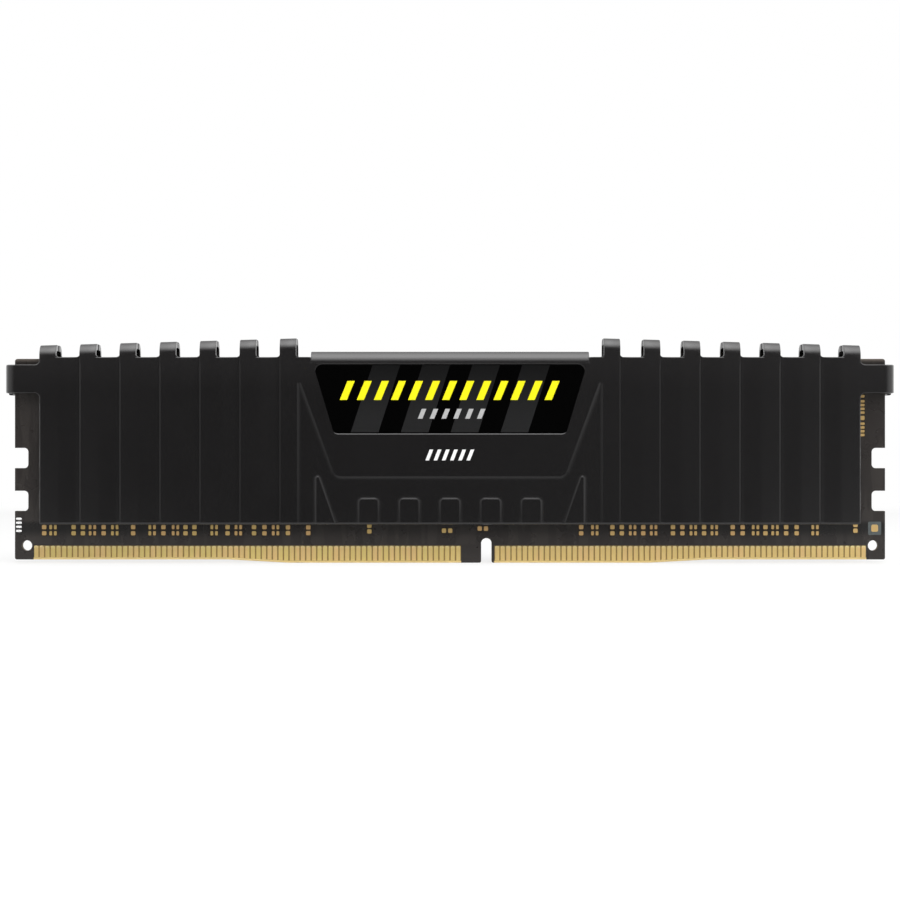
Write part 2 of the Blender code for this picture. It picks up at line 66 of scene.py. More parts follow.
Point = tuple[float, float, float]
Pair = tuple[float, float]
Colour = tuple[float, float, float]
Material = bpy.types.Material
Mesh = bpy.types.Mesh
Piece = bpy.types.Object


class Face(Enum):
    """The two faces of the module."""

    FRONT = -1
    REAR = 1


class Wing(Enum):
    """The two ribbed ends of a heat spreader."""

    LEFT = -1
    RIGHT = 1


def arithmetic(operation: str, reflected: bool = False) -> Callable[[Wire, Wire | float], Wire]:
    """Make an operator of Wire that adds a Math node.

    Args:
        operation: Blender's name of the operation.
        reflected: whether the wire is the second value.

    Returns:
        The operator.
    """
    def apply(self: Wire, other: Wire | float) -> Wire:
        """The node's result."""
        return self.graph.maths(operation, *((other, self) if reflected else (self, other)))

    return apply


class Wire:
    """An output socket that joins in arithmetic, adding Math nodes as it goes."""

    __add__, __radd__ = arithmetic("ADD"), arithmetic("ADD", True)
    __sub__, __rsub__ = arithmetic("SUBTRACT"), arithmetic("SUBTRACT", True)
    __mul__, __rmul__ = arithmetic("MULTIPLY"), arithmetic("MULTIPLY", True)
    __truediv__, __rtruediv__ = arithmetic("DIVIDE"), arithmetic("DIVIDE", True)
    __gt__, __lt__ = arithmetic("GREATER_THAN"), arithmetic("LESS_THAN")
    at_most, at_least = arithmetic("MINIMUM"), arithmetic("MAXIMUM")

    def __init__(self, graph: Graph, socket: bpy.types.NodeSocket) -> None:
        """Keep the graph and the socket together."""
        self.graph, self.socket = graph, socket

    def __abs__(self) -> Wire:
        """Size without sign."""
        return self.graph.maths("ABSOLUTE", self)

    def step(self, low: float, high: float) -> Wire:
        """Smooth rise from 0 at low to 1 at high."""
        return self.graph.node("ShaderNodeMapRange", {"interpolation_type": "SMOOTHSTEP"},
                               {"Value": self, "From Min": low, "From Max": high})

    def parts(self) -> tuple[Wire, ...]:
        """The three parts of a vector."""
        split = self.graph.node("ShaderNodeSeparateXYZ", {}, {0: self})
        return tuple(Wire(self.graph, output) for output in split.socket.node.outputs)


class Graph:
    """A node tree that is being put together."""

    def __init__(self, tree: bpy.types.NodeTree) -> None:
        """Start on a tree."""
        self.tree = tree

    def node(self, kind: str, settings: dict[str, object] | None = None,
             sockets: dict[object, object] | None = None, output: int | str = 0) -> Wire | None:
        """Add a node.

        Args:
            kind: Blender's type name.
            settings: properties that are set first.
            sockets: values or wires for inputs, by name or number; a list feeds a joining socket.
            output: the output to hand back.

        Returns:
            The chosen output, or None on a node without outputs.
        """
        made = self.tree.nodes.new(kind)
        for key, value in (settings or {}).items():
            setattr(made, key, value)
        for key, value in (sockets or {}).items():
            for part in value if isinstance(value, list) else [value]:
                if isinstance(part, Wire):
                    self.tree.links.new(part.socket, made.inputs[key])
                else:
                    made.inputs[key].default_value = part
        return Wire(self, made.outputs[output]) if len(made.outputs) else None

    def maths(self, operation: str, *values: Wire | float) -> Wire:
        """One Math node on values in order."""
        return self.node("ShaderNodeMath", {"operation": operation}, dict(enumerate(values)))

    def vector(self, x: Wire | float, y: Wire | float, z: Wire | float) -> Wire:
        """A vector from three values."""
        return self.node("ShaderNodeCombineXYZ", {}, {0: x, 1: y, 2: z})

    def rays(self) -> tuple[Wire, Wire]:
        """Whether a ray is the camera's own, and whether it was mirrored or passed through glass."""
        camera, glossy, through = (self.node("ShaderNodeLightPath", output=f"Is {kind} Ray")
                                   for kind in ("Camera", "Glossy", "Transmission"))
        return camera, glossy.at_least(through)


class SurfaceGraph(Graph):
    """A material that is being put together on Object coordinates."""

    def __init__(self, name: str) -> None:
        """Start a material with an empty tree.

        Args:
            name: name of the material.
        """
        self.material = bpy.data.materials.new(name)
        self.material.use_nodes = True
        self.material.node_tree.nodes.clear()
        super().__init__(self.material.node_tree)
        self.place = self.node("ShaderNodeTexCoord", output="Object")

    def stretched(self, factors: Point) -> Wire:
        """Coordinates drawn out on each axis."""
        return self.node("ShaderNodeVectorMath", {"operation": "MULTIPLY"}, {0: self.place, 1: factors})

    def noise(self, scale: float, detail: float = 2.0, stretch: Point | None = None) -> Wire:
        """Cloudy values between 0 and 1, with scale features to the metre."""
        place = self.stretched(stretch) if stretch else self.place
        return self.node("ShaderNodeTexNoise", {}, {"Vector": place, "Scale": scale, "Detail": detail})

    def blend(self, share: Wire | float, first: Wire | Colour, second: Wire | Colour) -> Wire:
        """Colour between two others."""
        sides = [side if isinstance(side, Wire) else (*side, 1.0) for side in (first, second)]
        return self.node("ShaderNodeMix", {"data_type": "RGBA"}, {0: share, 6: sides[0], 7: sides[1]}, 2)

    def bump(self, height: Wire, depth: float, strength: float) -> Wire:
        """Normal of a surface raised by a height of up to depth metres."""
        return self.node("ShaderNodeBump", {}, {"Height": height, "Distance": depth, "Strength": strength})

    def finish(self, sockets: dict[str, object]) -> Material:
        """Close the tree with a Principled shader.

        Args:
            sockets: values or wires for the shader's inputs, by name.

        Returns:
            The material.
        """
        shader = self.node("ShaderNodeBsdfPrincipled", {}, sockets)
        self.node("ShaderNodeOutputMaterial", {}, {"Surface": shader})
        return self.material


class ShapeGraph(Graph):
    """A Geometry Nodes tree with named sizes."""

    def __init__(self, name: str) -> None:
        """Start a tree that takes and gives geometry.

        Args:
            name: name of the tree.
        """
        super().__init__(bpy.data.node_groups.new(name, "GeometryNodeTree"))
        self.values: dict[str, float | int] = {}
        for side in ("INPUT", "OUTPUT"):
            self.tree.interface.new_socket("Geometry", in_out=side, socket_type="NodeSocketGeometry")

    def entry(self, name: str = "Geometry") -> Wire:
        """One of the tree's inputs, by name."""
        return self.node("NodeGroupInput", output=name)

    def size(self, name: str, value: float | int) -> Wire:
        """Add a named size.

        Args:
            name: what it is.
            value: the size; a whole number makes a count.

        Returns:
            The size as a wire.
        """
        kind = "NodeSocketInt" if isinstance(value, int) else "NodeSocketFloat"
        socket = self.tree.interface.new_socket(name, in_out="INPUT", socket_type=kind)
        self.values[socket.identifier] = value
        return self.entry(name)

    def sizes(self, owner: object, *names: str) -> list[Wire]:
        """Add sizes that are fields of a sub-assembly, under the fields' names."""
        return [self.size(name.replace("_", " ").capitalize(), getattr(owner, name)) for name in names]

    def row(self, start: Wire | float, pitch: Wire | float, count: Wire | int) -> Wire:
        """Points in a row along X."""
        return self.node("GeometryNodeMeshLine", {"mode": "OFFSET"}, {
            "Count": count, "Start Location": self.vector(start, 0.0, 0.0),
            "Offset": self.vector(pitch, 0.0, 0.0)})

    def copies(self, points: Wire, shape: Wire) -> Wire:
        """The shape at every point, as real geometry."""
        placed = self.node("GeometryNodeInstanceOnPoints", {}, {"Points": points, "Instance": shape})
        return self.node("GeometryNodeRealizeInstances", {}, {"Geometry": placed})

    def joined(self, *shapes: Wire) -> Wire:
        """Several geometries as one."""
        return self.node("GeometryNodeJoinGeometry", {}, {"Geometry": list(shapes)})

    def position(self) -> tuple[Wire, ...]:
        """X, Y and Z of each point."""
        return self.node("GeometryNodeInputPosition").parts()

    def raised(self, shape: Wire, rise: Wire, where: Wire) -> Wire:
        """The shape with chosen points moved up."""
        return self.node("GeometryNodeSetPosition", {}, {
            "Geometry": shape, "Selection": where, "Offset": self.vector(0.0, 0.0, rise)})

    def box(self, width: Wire | float, height: Wire | float, radius: Wire | float) -> Wire:
        """A rectangular curve with rounded corners."""
        box = self.node("GeometryNodeCurvePrimitiveQuadrilateral", {"mode": "RECTANGLE"},
                        {"Width": width, "Height": height})
        return self.rounded(box, radius, 3)

    def rounded(self, curve: Wire, radius: Wire | float, facets: int) -> Wire:
        """A curve with arcs at its corners."""
        return self.node("GeometryNodeFilletCurve", {"mode": "POLY"},
                         {"Curve": curve, "Count": facets, "Radius": radius})

    def bake(self, name: str, shape: Wire, material: Material, base: Mesh | None = None) -> Piece:
        """Close the tree and turn what it makes into a plain mesh.

        Args:
            name: name of the piece.
            shape: the last geometry of the tree.
            material: what it is made of.
            base: mesh that the tree starts from.

        Returns:
            The piece, without a modifier.
        """
        real = self.node("GeometryNodeRealizeInstances", {}, {"Geometry": shape})
        dressed = self.node("GeometryNodeSetMaterial", {}, {"Geometry": real, "Material": material})
        self.node("NodeGroupOutput", {}, {"Geometry": dressed})
        piece = link(name, base or bpy.data.meshes.new(name))
        modifier = piece.modifiers.new(self.tree.name, "NODES")
        modifier.node_group = self.tree
        for identifier, value in self.values.items():
            modifier[identifier] = value
        bake_modifiers(piece)
        return piece


@dataclass(frozen=True)
class Outline:
    """A closed front-view outline, anticlockwise, whose corners carry fillet radii."""

    corners: tuple[Point, ...]
    arc_step: float = ARC_STEP

    @classmethod
    def balanced(cls, *half: Point) -> Outline:
        """An outline alike on both sides, from the corners of one side in order."""
        return cls((*half, *((-u, v, radius) for u, v, radius in reversed(half))))

    def bends(self) -> list[tuple[Vector, float, Vector, Vector]]:
        """Each corner with its radius and the directions in which the outline arrives and leaves."""
        spots = [Vector(corner[:2]) for corner in self.corners]
        ahead = [*spots[1:], spots[0]]
        return [(here, corner[2], (here - spots[index - 1]).normalized(), (ahead[index] - here).normalized())
                for index, (here, corner) in enumerate(zip(spots, self.corners))]

    def points(self) -> list[Vector]:
        """The outline with its arcs drawn out."""
        drawn: list[Vector] = []
        for here, radius, arriving, leaving in self.bends():
            if radius == 0.0:
                drawn.append(here)
                continue
            back = -arriving
            half = back.angle(leaving) / 2
            centre = here + (back + leaving).normalized() * (radius / math.sin(half))
            start = here + back * (radius / math.tan(half)) - centre
            sweep = (2 * half - math.pi) if back.cross(leaving) > 0 else (math.pi - 2 * half)
            steps = math.ceil(abs(sweep) / self.arc_step)
            drawn += [centre + Matrix.Rotation(sweep * step / steps, 2) @ start for step in range(steps + 1)]
        return drawn

    def grown(self, distance: float) -> Outline:
        """Move every side outwards, and keep the arcs concentric.

        Args:
            distance: how far, inwards where it is negative.

        Returns:
            The new outline.
        """
        moved: list[Point] = []
        for here, radius, arriving, leaving in self.bends():
            first, second = Vector((arriving.y, -arriving.x)), Vector((leaving.y, -leaving.x))
            spot = here + (first + second) * (distance / (1 + first.dot(second)))
            if radius:
                radius = max(radius + (distance if arriving.cross(leaving) > 0 else -distance), TINY)
            moved.append((spot.x, spot.y, radius))
        return Outline(tuple(moved), self.arc_step)

    def mirrored(self) -> Outline:
        """The outline reflected in the middle of the module."""
        return Outline(tuple((-u, v, radius) for u, v, radius in reversed(self.corners)), self.arc_step)

    def loop(self, y: float) -> list[Point]:
        """The drawn outline at one depth."""
        return [(point.x, y, point.y) for point in self.points()]


def arc(sweep: float, steps: int) -> list[float]:
    """Angles from 0 to a sweep, in equal steps."""
    return [sweep * step / steps for step in range(steps + 1)]


def upright(sides: Pair, ends: Pair, low_round: float, high_round: float,
            arc_step: float = ARC_STEP) -> Outline:
    """Upright rectangle in front view, from its sides, ends and radii."""
    (left, right), (low, high) = sides, ends
    return Outline(((left, low, low_round), (right, low, low_round), (right, high, high_round),
                    (left, high, high_round)), arc_step)


class Solid:
    """A closed mesh that is being put together."""

    def __init__(self) -> None:
        """Start with nothing."""
        self.body = bmesh.new()

    def loft(self, loops: Sequence[Sequence[Point]]) -> Solid:
        """Add a closed body through loops of equal length.

        Args:
            loops: the loops in order, capped at the first and the last.

        Returns:
            The solid itself.
        """
        rings = [[self.body.verts.new(point) for point in loop] for loop in loops]
        for near, far in zip(rings, rings[1:]):
            for index in range(len(near)):
                self.body.faces.new((near[index - 1], near[index], far[index], far[index - 1]))
        self.body.faces.new(rings[0])
        self.body.faces.new(rings[-1])
        return self

    def slab(self, outline: Outline, front: float, back: float, rounding: float, steps: int = 3) -> Solid:
        """Add a flat body whose front edges are rounded.

        Args:
            outline: its shape in front view.
            front: depth of its front face.
            back: depth of its back face.
            rounding: radius of its front edges.
            steps: facets of the rounding.

        Returns:
            The solid itself.
        """
        loops = []
        for angle in arc(QUARTER, steps)[:-1]:
            inner = outline.grown(rounding * (math.sin(angle) - 1))
            loops.append(inner.loop(front + rounding * (1 - math.cos(angle))))
        return self.loft([*loops, outline.loop(front + rounding), outline.loop(back)])

    def mesh(self, name: str) -> Mesh:
        """Finish the mesh, with its faces pointing out.

        Args:
            name: its name.

        Returns:
            The mesh.
        """
        bmesh.ops.recalc_face_normals(self.body, faces=self.body.faces[:])
        mesh = bpy.data.meshes.new(name)
        self.body.to_mesh(mesh)
        self.body.free()
        return mesh

    def piece(self, name: str) -> Piece:
        """The finished mesh as a piece in the scene."""
        return link(name, self.mesh(name))


def link(name: str, mesh: Mesh) -> Piece:
    """Put a mesh into the scene at the origin.

    Args:
        name: name of the piece.
        mesh: its mesh.

    Returns:
        The piece.
    """
    piece = bpy.data.objects.new(name, mesh)
    bpy.context.scene.collection.objects.link(piece)
    return piece


def bake_modifiers(piece: Piece) -> None:
    """Replace a piece's mesh by what its modifiers make of it.

    Args:
        piece: the piece, which loses its modifiers.
    """
    bpy.context.view_layer.update()
    evaluated = piece.evaluated_get(bpy.context.evaluated_depsgraph_get())
    mesh = bpy.data.meshes.new_from_object(evaluated)
    piece.modifiers.clear()
    piece.data = mesh


def combine(piece: Piece, operation: str, tool: Piece) -> None:
    """Join a tool to a piece, or cut it away, and remove the tool.

    Args:
        piece: the piece that is kept.
        operation: UNION or DIFFERENCE.
        tool: the other solid.
    """
    modifier = piece.modifiers.new("combine", "BOOLEAN")
    modifier.solver, modifier.operation, modifier.object = "EXACT", operation, tool
    bake_modifiers(piece)
    bpy.data.objects.remove(tool)


def polish(piece: Piece, material: Material, angle: float = math.radians(40.0)) -> None:
    """Merge doubles, shade round edges smoothly and keep flat faces flat.

    Args:
        piece: the piece to finish.
        material: what it is made of.
        angle: edges sharper than this stay sharp.
    """
    body = bmesh.new()
    body.from_mesh(piece.data)
    bmesh.ops.remove_doubles(body, verts=body.verts[:], dist=WELD)
    bmesh.ops.dissolve_degenerate(body, edges=body.edges[:], dist=WELD)
    body.to_mesh(piece.data)
    body.free()
    piece.data.materials.clear()
    piece.data.materials.append(material)
    piece.data.polygons.foreach_set("use_smooth", [True] * len(piece.data.polygons))
    piece.data.set_sharp_from_angle(angle=angle)
    weighted = piece.modifiers.new("flat_faces", "WEIGHTED_NORMAL")
    weighted.keep_sharp, weighted.weight = True, 100
    bake_modifiers(piece)


def dress_faces(piece: Piece, material: Material, chosen: Callable[[bpy.types.MeshPolygon], bool]) -> None:
    """Give chosen faces of a piece a second finish.

    Args:
        piece: the piece.
        material: the second finish.
        chosen: tells whether a face takes it.
    """
    piece.data.materials.append(material)
    for polygon in piece.data.polygons:
        polygon.material_index = int(chosen(polygon))


def place(piece: Piece, slot: str | None = None, nodes: Iterable[str] = ()) -> None:
    """Tie a finished piece to the frame and report it.

    Args:
        piece: the finished piece.
        slot: not used.
        nodes: CAD nodes that it stands for.
    """
    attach(piece, "root")
    names = list(nodes)
    if names:
        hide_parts(*names)
    LOG.info("%s: %d faces, stands for %d nodes", piece.name, len(piece.data.polygons), len(names))


@dataclass(frozen=True)
class AnodisedFinish:
    """Satin black on pressed aluminium."""

    colour: Colour = (0.0034, 0.0030, 0.0032)
    cloud: Colour = (0.0054, 0.0048, 0.0050)
    # painted light: the base colour pales towards the right end, where the light falls more strongly
    painted_light_end: Colour = (0.0056, 0.0051, 0.0053)
    painted_light_end_run: Pair = (-30.0 * MM, 60.0 * MM)
    # painted light: the base colour pales along the top, which catches the light from above
    painted_top_light: Colour = (0.0082, 0.0075, 0.0077)
    painted_top_light_run: Pair = (25.5 * MM, 32.0 * MM)
    roughness: float = 0.23
    specular: float = 0.46

    def make(self) -> Material:
        """The material, with a fine blasted grain, and painted light: paler towards the right end and along
        the top, where more light falls.
        """
        graph = SurfaceGraph("black_anodised_aluminium")
        x, _, z = graph.place.parts()
        grain = graph.noise(9000.0)
        drift = graph.noise(160.0, 3.0)
        tone = graph.blend(drift, self.colour, self.cloud)
        # painted light: paler towards the right end
        tone = graph.blend(x.step(*self.painted_light_end_run), tone, self.painted_light_end)
        return graph.finish({
            # painted light: paler along the top
            "Base Color": graph.blend(z.step(*self.painted_top_light_run), tone, self.painted_top_light),
            "Roughness": self.roughness + (grain - 0.5) * 0.08 + (drift - 0.5) * 0.05,
            "Specular IOR Level": self.specular,
            "Normal": graph.bump(grain, 0.004 * MM, 0.5),
        })


@dataclass(frozen=True)
class MaskFinish:
    """Dark solder mask over copper, left open to the bare laminate between the contacts."""

    colour: Colour = (0.0179, 0.0150, 0.0139)
    pale: Colour = (0.0239, 0.0200, 0.0182)
    track: Colour = (0.089, 0.080, 0.071)
    # painted shadow: the colour of the shade that the spreader's foot casts on the strip below it
    shade: Colour = (0.0018, 0.0018, 0.0018)
    rim: Colour = (0.143, 0.121, 0.104)
    rim_run: Pair = (30.65 * MM, 31.25 * MM)
    bare: Colour = (0.223, 0.152, 0.048)
    bare_top: float = 2.62 * MM
    bare_runs: tuple[Pair, ...] = ((-63.75 * MM, 1.68 * MM), (6.82 * MM, 63.75 * MM))
    roughness: float = 0.28
    specular: float = 0.42

    def make(self) -> Material:
        """The material, with faint tracks under the mask, and darkest under the spreader's foot, where a
        shadow is painted.
        """
        graph = SurfaceGraph("solder_mask")
        x, _, z = graph.place.parts()
        drift = graph.noise(300.0, 3.0)
        tracks = graph.noise(900.0, 1.0, (1.0, 0.0, 0.12))
        lanes = tracks.step(0.50, 0.54) * z.step(2.7 * MM, 3.0 * MM)
        left, right = ((x > start) * (x < stop) for start, stop in self.bare_runs)
        bare = (left + right) * (z < self.bare_top)
        # painted shadow of the spreader's foot: a band just below it, deeper towards both ends
        under = z.step(3.6 * MM, 5.2 * MM) * (1.0 - z.step(5.9 * MM, 6.6 * MM))
        under = under * (0.3 + 0.5 * abs(x).step(20.0 * MM, 62.0 * MM))
        tone = graph.blend(drift, self.colour, self.pale)
        tone = graph.blend(lanes * 0.10, tone, self.track)
        tone = graph.blend(under, tone, self.shade)
        tone = graph.blend(z.step(*self.rim_run), tone, self.rim)
        return graph.finish({
            "Base Color": graph.blend(bare, tone, self.bare),
            "Roughness": self.roughness + (drift - 0.5) * 0.08 + bare * 0.27,
            "Specular IOR Level": self.specular,
            "Normal": graph.bump(lanes + drift * 0.3, 0.006 * MM, 0.4),
        })


@dataclass(frozen=True)
class LaminateFinish:
    """Cut edge of the glass-fibre laminate, with its layers showing."""

    bevel: Colour = (0.82, 0.64, 0.29)
    bevel_run: Pair = (0.7 * MM, 1.2 * MM)
    edge: Colour = (0.107, 0.082, 0.046)
    seam: Colour = (0.054, 0.039, 0.025)
    layers_to_metre: float = 5200.0
    roughness: float = 0.55
    specular: float = 0.3

    def make(self) -> Material:
        """The material, palest on the bevel under the contacts."""
        graph = SurfaceGraph("glass_fibre_edge")
        _, y, z = graph.place.parts()
        layers = abs(graph.maths("SINE", y * self.layers_to_metre))
        fibres = graph.noise(5000.0, 2.0, (0.3, 2.0, 1.0))
        tone = graph.blend(1.0 - z.step(*self.bevel_run), self.edge, self.bevel)
        return graph.finish({
            "Base Color": graph.blend(layers * 0.12 + fibres * 0.20, tone, self.seam),
            "Roughness": self.roughness + fibres * 0.25,
            "Specular IOR Level": self.specular,
            "Normal": graph.bump(fibres + layers * 0.5, 0.01 * MM, 0.6),
        })


@dataclass(frozen=True)
class GoldFinish:
    """Gold plating over nickel."""

    name: str = "gold_plating"
    colour: Colour = (0.76, 0.59, 0.205)
    warm: Colour = (0.80, 0.55, 0.235)
    pale: Colour = (0.92, 0.82, 0.47)
    # painted shade: the plating darkens towards the left end, away from the key light
    painted_end_shade: Colour = (0.04, 0.032, 0.016)
    roughness: float = 0.42

    def make(self) -> Material:
        """The material, with slight wipe marks and cloudy plating, and painted shade that darkens it towards
        the left end, away from the key light.
        """
        graph = SurfaceGraph(self.name)
        x, _, z = graph.place.parts()
        wipes = graph.noise(7000.0, 2.0, (1.0, 1.0, 0.12))
        cloud = graph.noise(1300.0)
        tint = graph.noise(420.0, 2.0, (1.0, 0.0, 0.2)).step(0.40, 0.62)
        head = z.step(2.1 * MM, 2.6 * MM) * (1.0 - z.step(2.7 * MM, 2.8 * MM))
        tone = graph.blend(tint.at_least(x.step(-6.0 * MM, 6.0 * MM) * 0.5), self.colour, self.warm)
        tone = graph.blend(cloud * 0.2 + head * 0.4, tone, self.pale)
        # painted shade: darker towards the left end
        painted_end_shade = 1.0 - x.step(-64.0 * MM, -24.0 * MM)
        return graph.finish({
            "Base Color": graph.blend(painted_end_shade * 0.2, tone, self.painted_end_shade),
            "Metallic": 1.0,
            "Roughness": self.roughness + (wipes - 0.5) * 0.2,
            "Normal": graph.bump(wipes, 0.003 * MM, 0.4),
        })


@dataclass(frozen=True)
class GlossFinish:
    """Polished black face of the badge."""

    colour: Colour = (0.0007, 0.0007, 0.0007)
    dust: Colour = (0.01, 0.01, 0.01)
    roughness: float = 0.10
    specular: float = 0.03

    def make(self) -> Material:
        """The material, with the slight waviness of a moulded gloss face."""
        graph = SurfaceGraph("gloss_badge")
        wave = graph.noise(220.0, 1.0)
        dust = graph.noise(9000.0, 1.0).step(0.68, 0.80)
        return graph.finish({
            "Base Color": graph.blend(dust * 0.2, self.colour, self.dust),
            "Roughness": self.roughness + wave * 0.05 + dust * 0.12,
            "Specular IOR Level": self.specular,
            "Normal": graph.bump(wave, 0.004 * MM, 0.3),
        })


@dataclass(frozen=True)
class MottledFinish:
    """A plain finish, mottled between two tones of its colour."""

    name: str
    colour: Colour
    dim: Colour
    scale: float
    detail: float = 2.0
    roughness: float = 0.35
    spread: float = 0.2
    specular: float = 0.5
    metallic: float = 0.0
    depth: float = 0.003 * MM
    strength: float = 0.5
    fade: Pair | None = None
    faded: Colour = (0.0035, 0.0035, 0.0035)

    def make(self) -> Material:
        """The material, fading out upwards where that is asked for."""
        graph = SurfaceGraph(self.name)
        mottle = graph.noise(self.scale, self.detail)
        tone = graph.blend(mottle, self.dim, self.colour)
        if self.fade:
            tone = graph.blend(graph.place.parts()[2].step(*self.fade), tone, self.faded)
        return graph.finish({
            "Base Color": tone,
            "Metallic": self.metallic,
            "Roughness": self.roughness + mottle * self.spread,
            "Specular IOR Level": self.specular,
            "Normal": graph.bump(mottle, self.depth, self.strength),
        })


def coat(name: str, colour: Colour, roughness: float = 0.375, specular: float = 0.25,
         fade: Pair | None = None) -> Material:
    """Thin flat coat: printed ink, or resin laid bare in a window of the mask."""
    dim = tuple(part * 0.88 for part in colour)
    return MottledFinish(name, colour, dim, 4000.0, roughness=roughness, spread=0.15, specular=specular,
                         depth=0.002 * MM, strength=0.4, fade=fade).make()


def ceramic(name: str, colour: Colour) -> Material:
    """Fired ceramic body of a chip part."""
    return MottledFinish(name, colour, tuple(part * 0.7 for part in colour), 9000.0, specular=0.45).make()


@dataclass
class CurledTabs:
    """A row of sheet tabs that rise, bend over at the top and run back to a tip."""

    name: str
    width: float
    thickness: float
    bend: float
    front: float
    foot: float
    top: float
    tip: float
    edge_round: float
    first: float = 0.0
    pitch: float = 0.0
    count: int = 1
    fall: float = 0.0
    both_wings: bool = False
    bend_facets: int = 14
    root: float = 0.5 * MM

    def build(self, material: Material) -> Piece:
        """Sweep one tab and set it out in a row.

        Args:
            material: what the sheet is made of.

        Returns:
            The tabs as one piece.
        """
        graph = ShapeGraph(self.name)
        width, thick, foot, top, front, tip, bend, first, pitch, count, fall = graph.sizes(
            self, "width", "thickness", "foot", "top", "front", "tip", "bend", "first", "pitch", "count",
            "fall")
        line = graph.node("GeometryNodeCurvePrimitiveLine", {"mode": "POINTS"}, {"End": (0.0, 0.0, 1.0)})
        line = graph.node("GeometryNodeSubdivideCurve", {}, {"Curve": line, "Cuts": 1})
        index = graph.node("GeometryNodeInputIndex")
        middle = front + thick * 0.5
        y = middle + (index > 1.5) * (tip - middle)
        z = foot + (index > 0.5) * (top - thick * 0.5 - foot)
        path = graph.node("GeometryNodeSetPosition", {}, {
            "Geometry": line, "Position": graph.vector(0.0, y, z)})
        path = graph.rounded(path, bend - thick * 0.5, self.bend_facets)
        tab = graph.node("GeometryNodeCurveToMesh", {}, {
            "Curve": path, "Profile Curve": graph.box(width, thick, self.edge_round), "Fill Caps": True})
        points = graph.row(first, pitch, count)
        if self.both_wings:
            points = graph.joined(points, graph.row(0.0 - first, 0.0 - pitch, count))
        x, _, height = graph.position()
        drop = 0.0 - (abs(x) - first) * fall
        row = graph.raised(graph.copies(points, tab), drop, height > foot + self.root)
        return graph.bake(self.name, row, material)


@dataclass(frozen=True)
class Wall:
    """Section of a pressed wall: a tight shoulder that runs out in a long hollow."""

    depth: float
    width: float
    shift: float
    shoulder: float = 0.2
    steps: int = 10

    def section(self) -> list[Pair]:
        """Distance from the outline towards the low side, and depth, of points from the shoulder down."""
        points = []
        for share in (step / self.steps for step in range(self.steps + 1)):
            fall = share * share / self.shoulder
            if share > self.shoulder:
                fall = 1 - (1 - share) ** 2 / (1 - self.shoulder)
            points.append((self.width * share - self.shift, self.depth * fall))
        return points


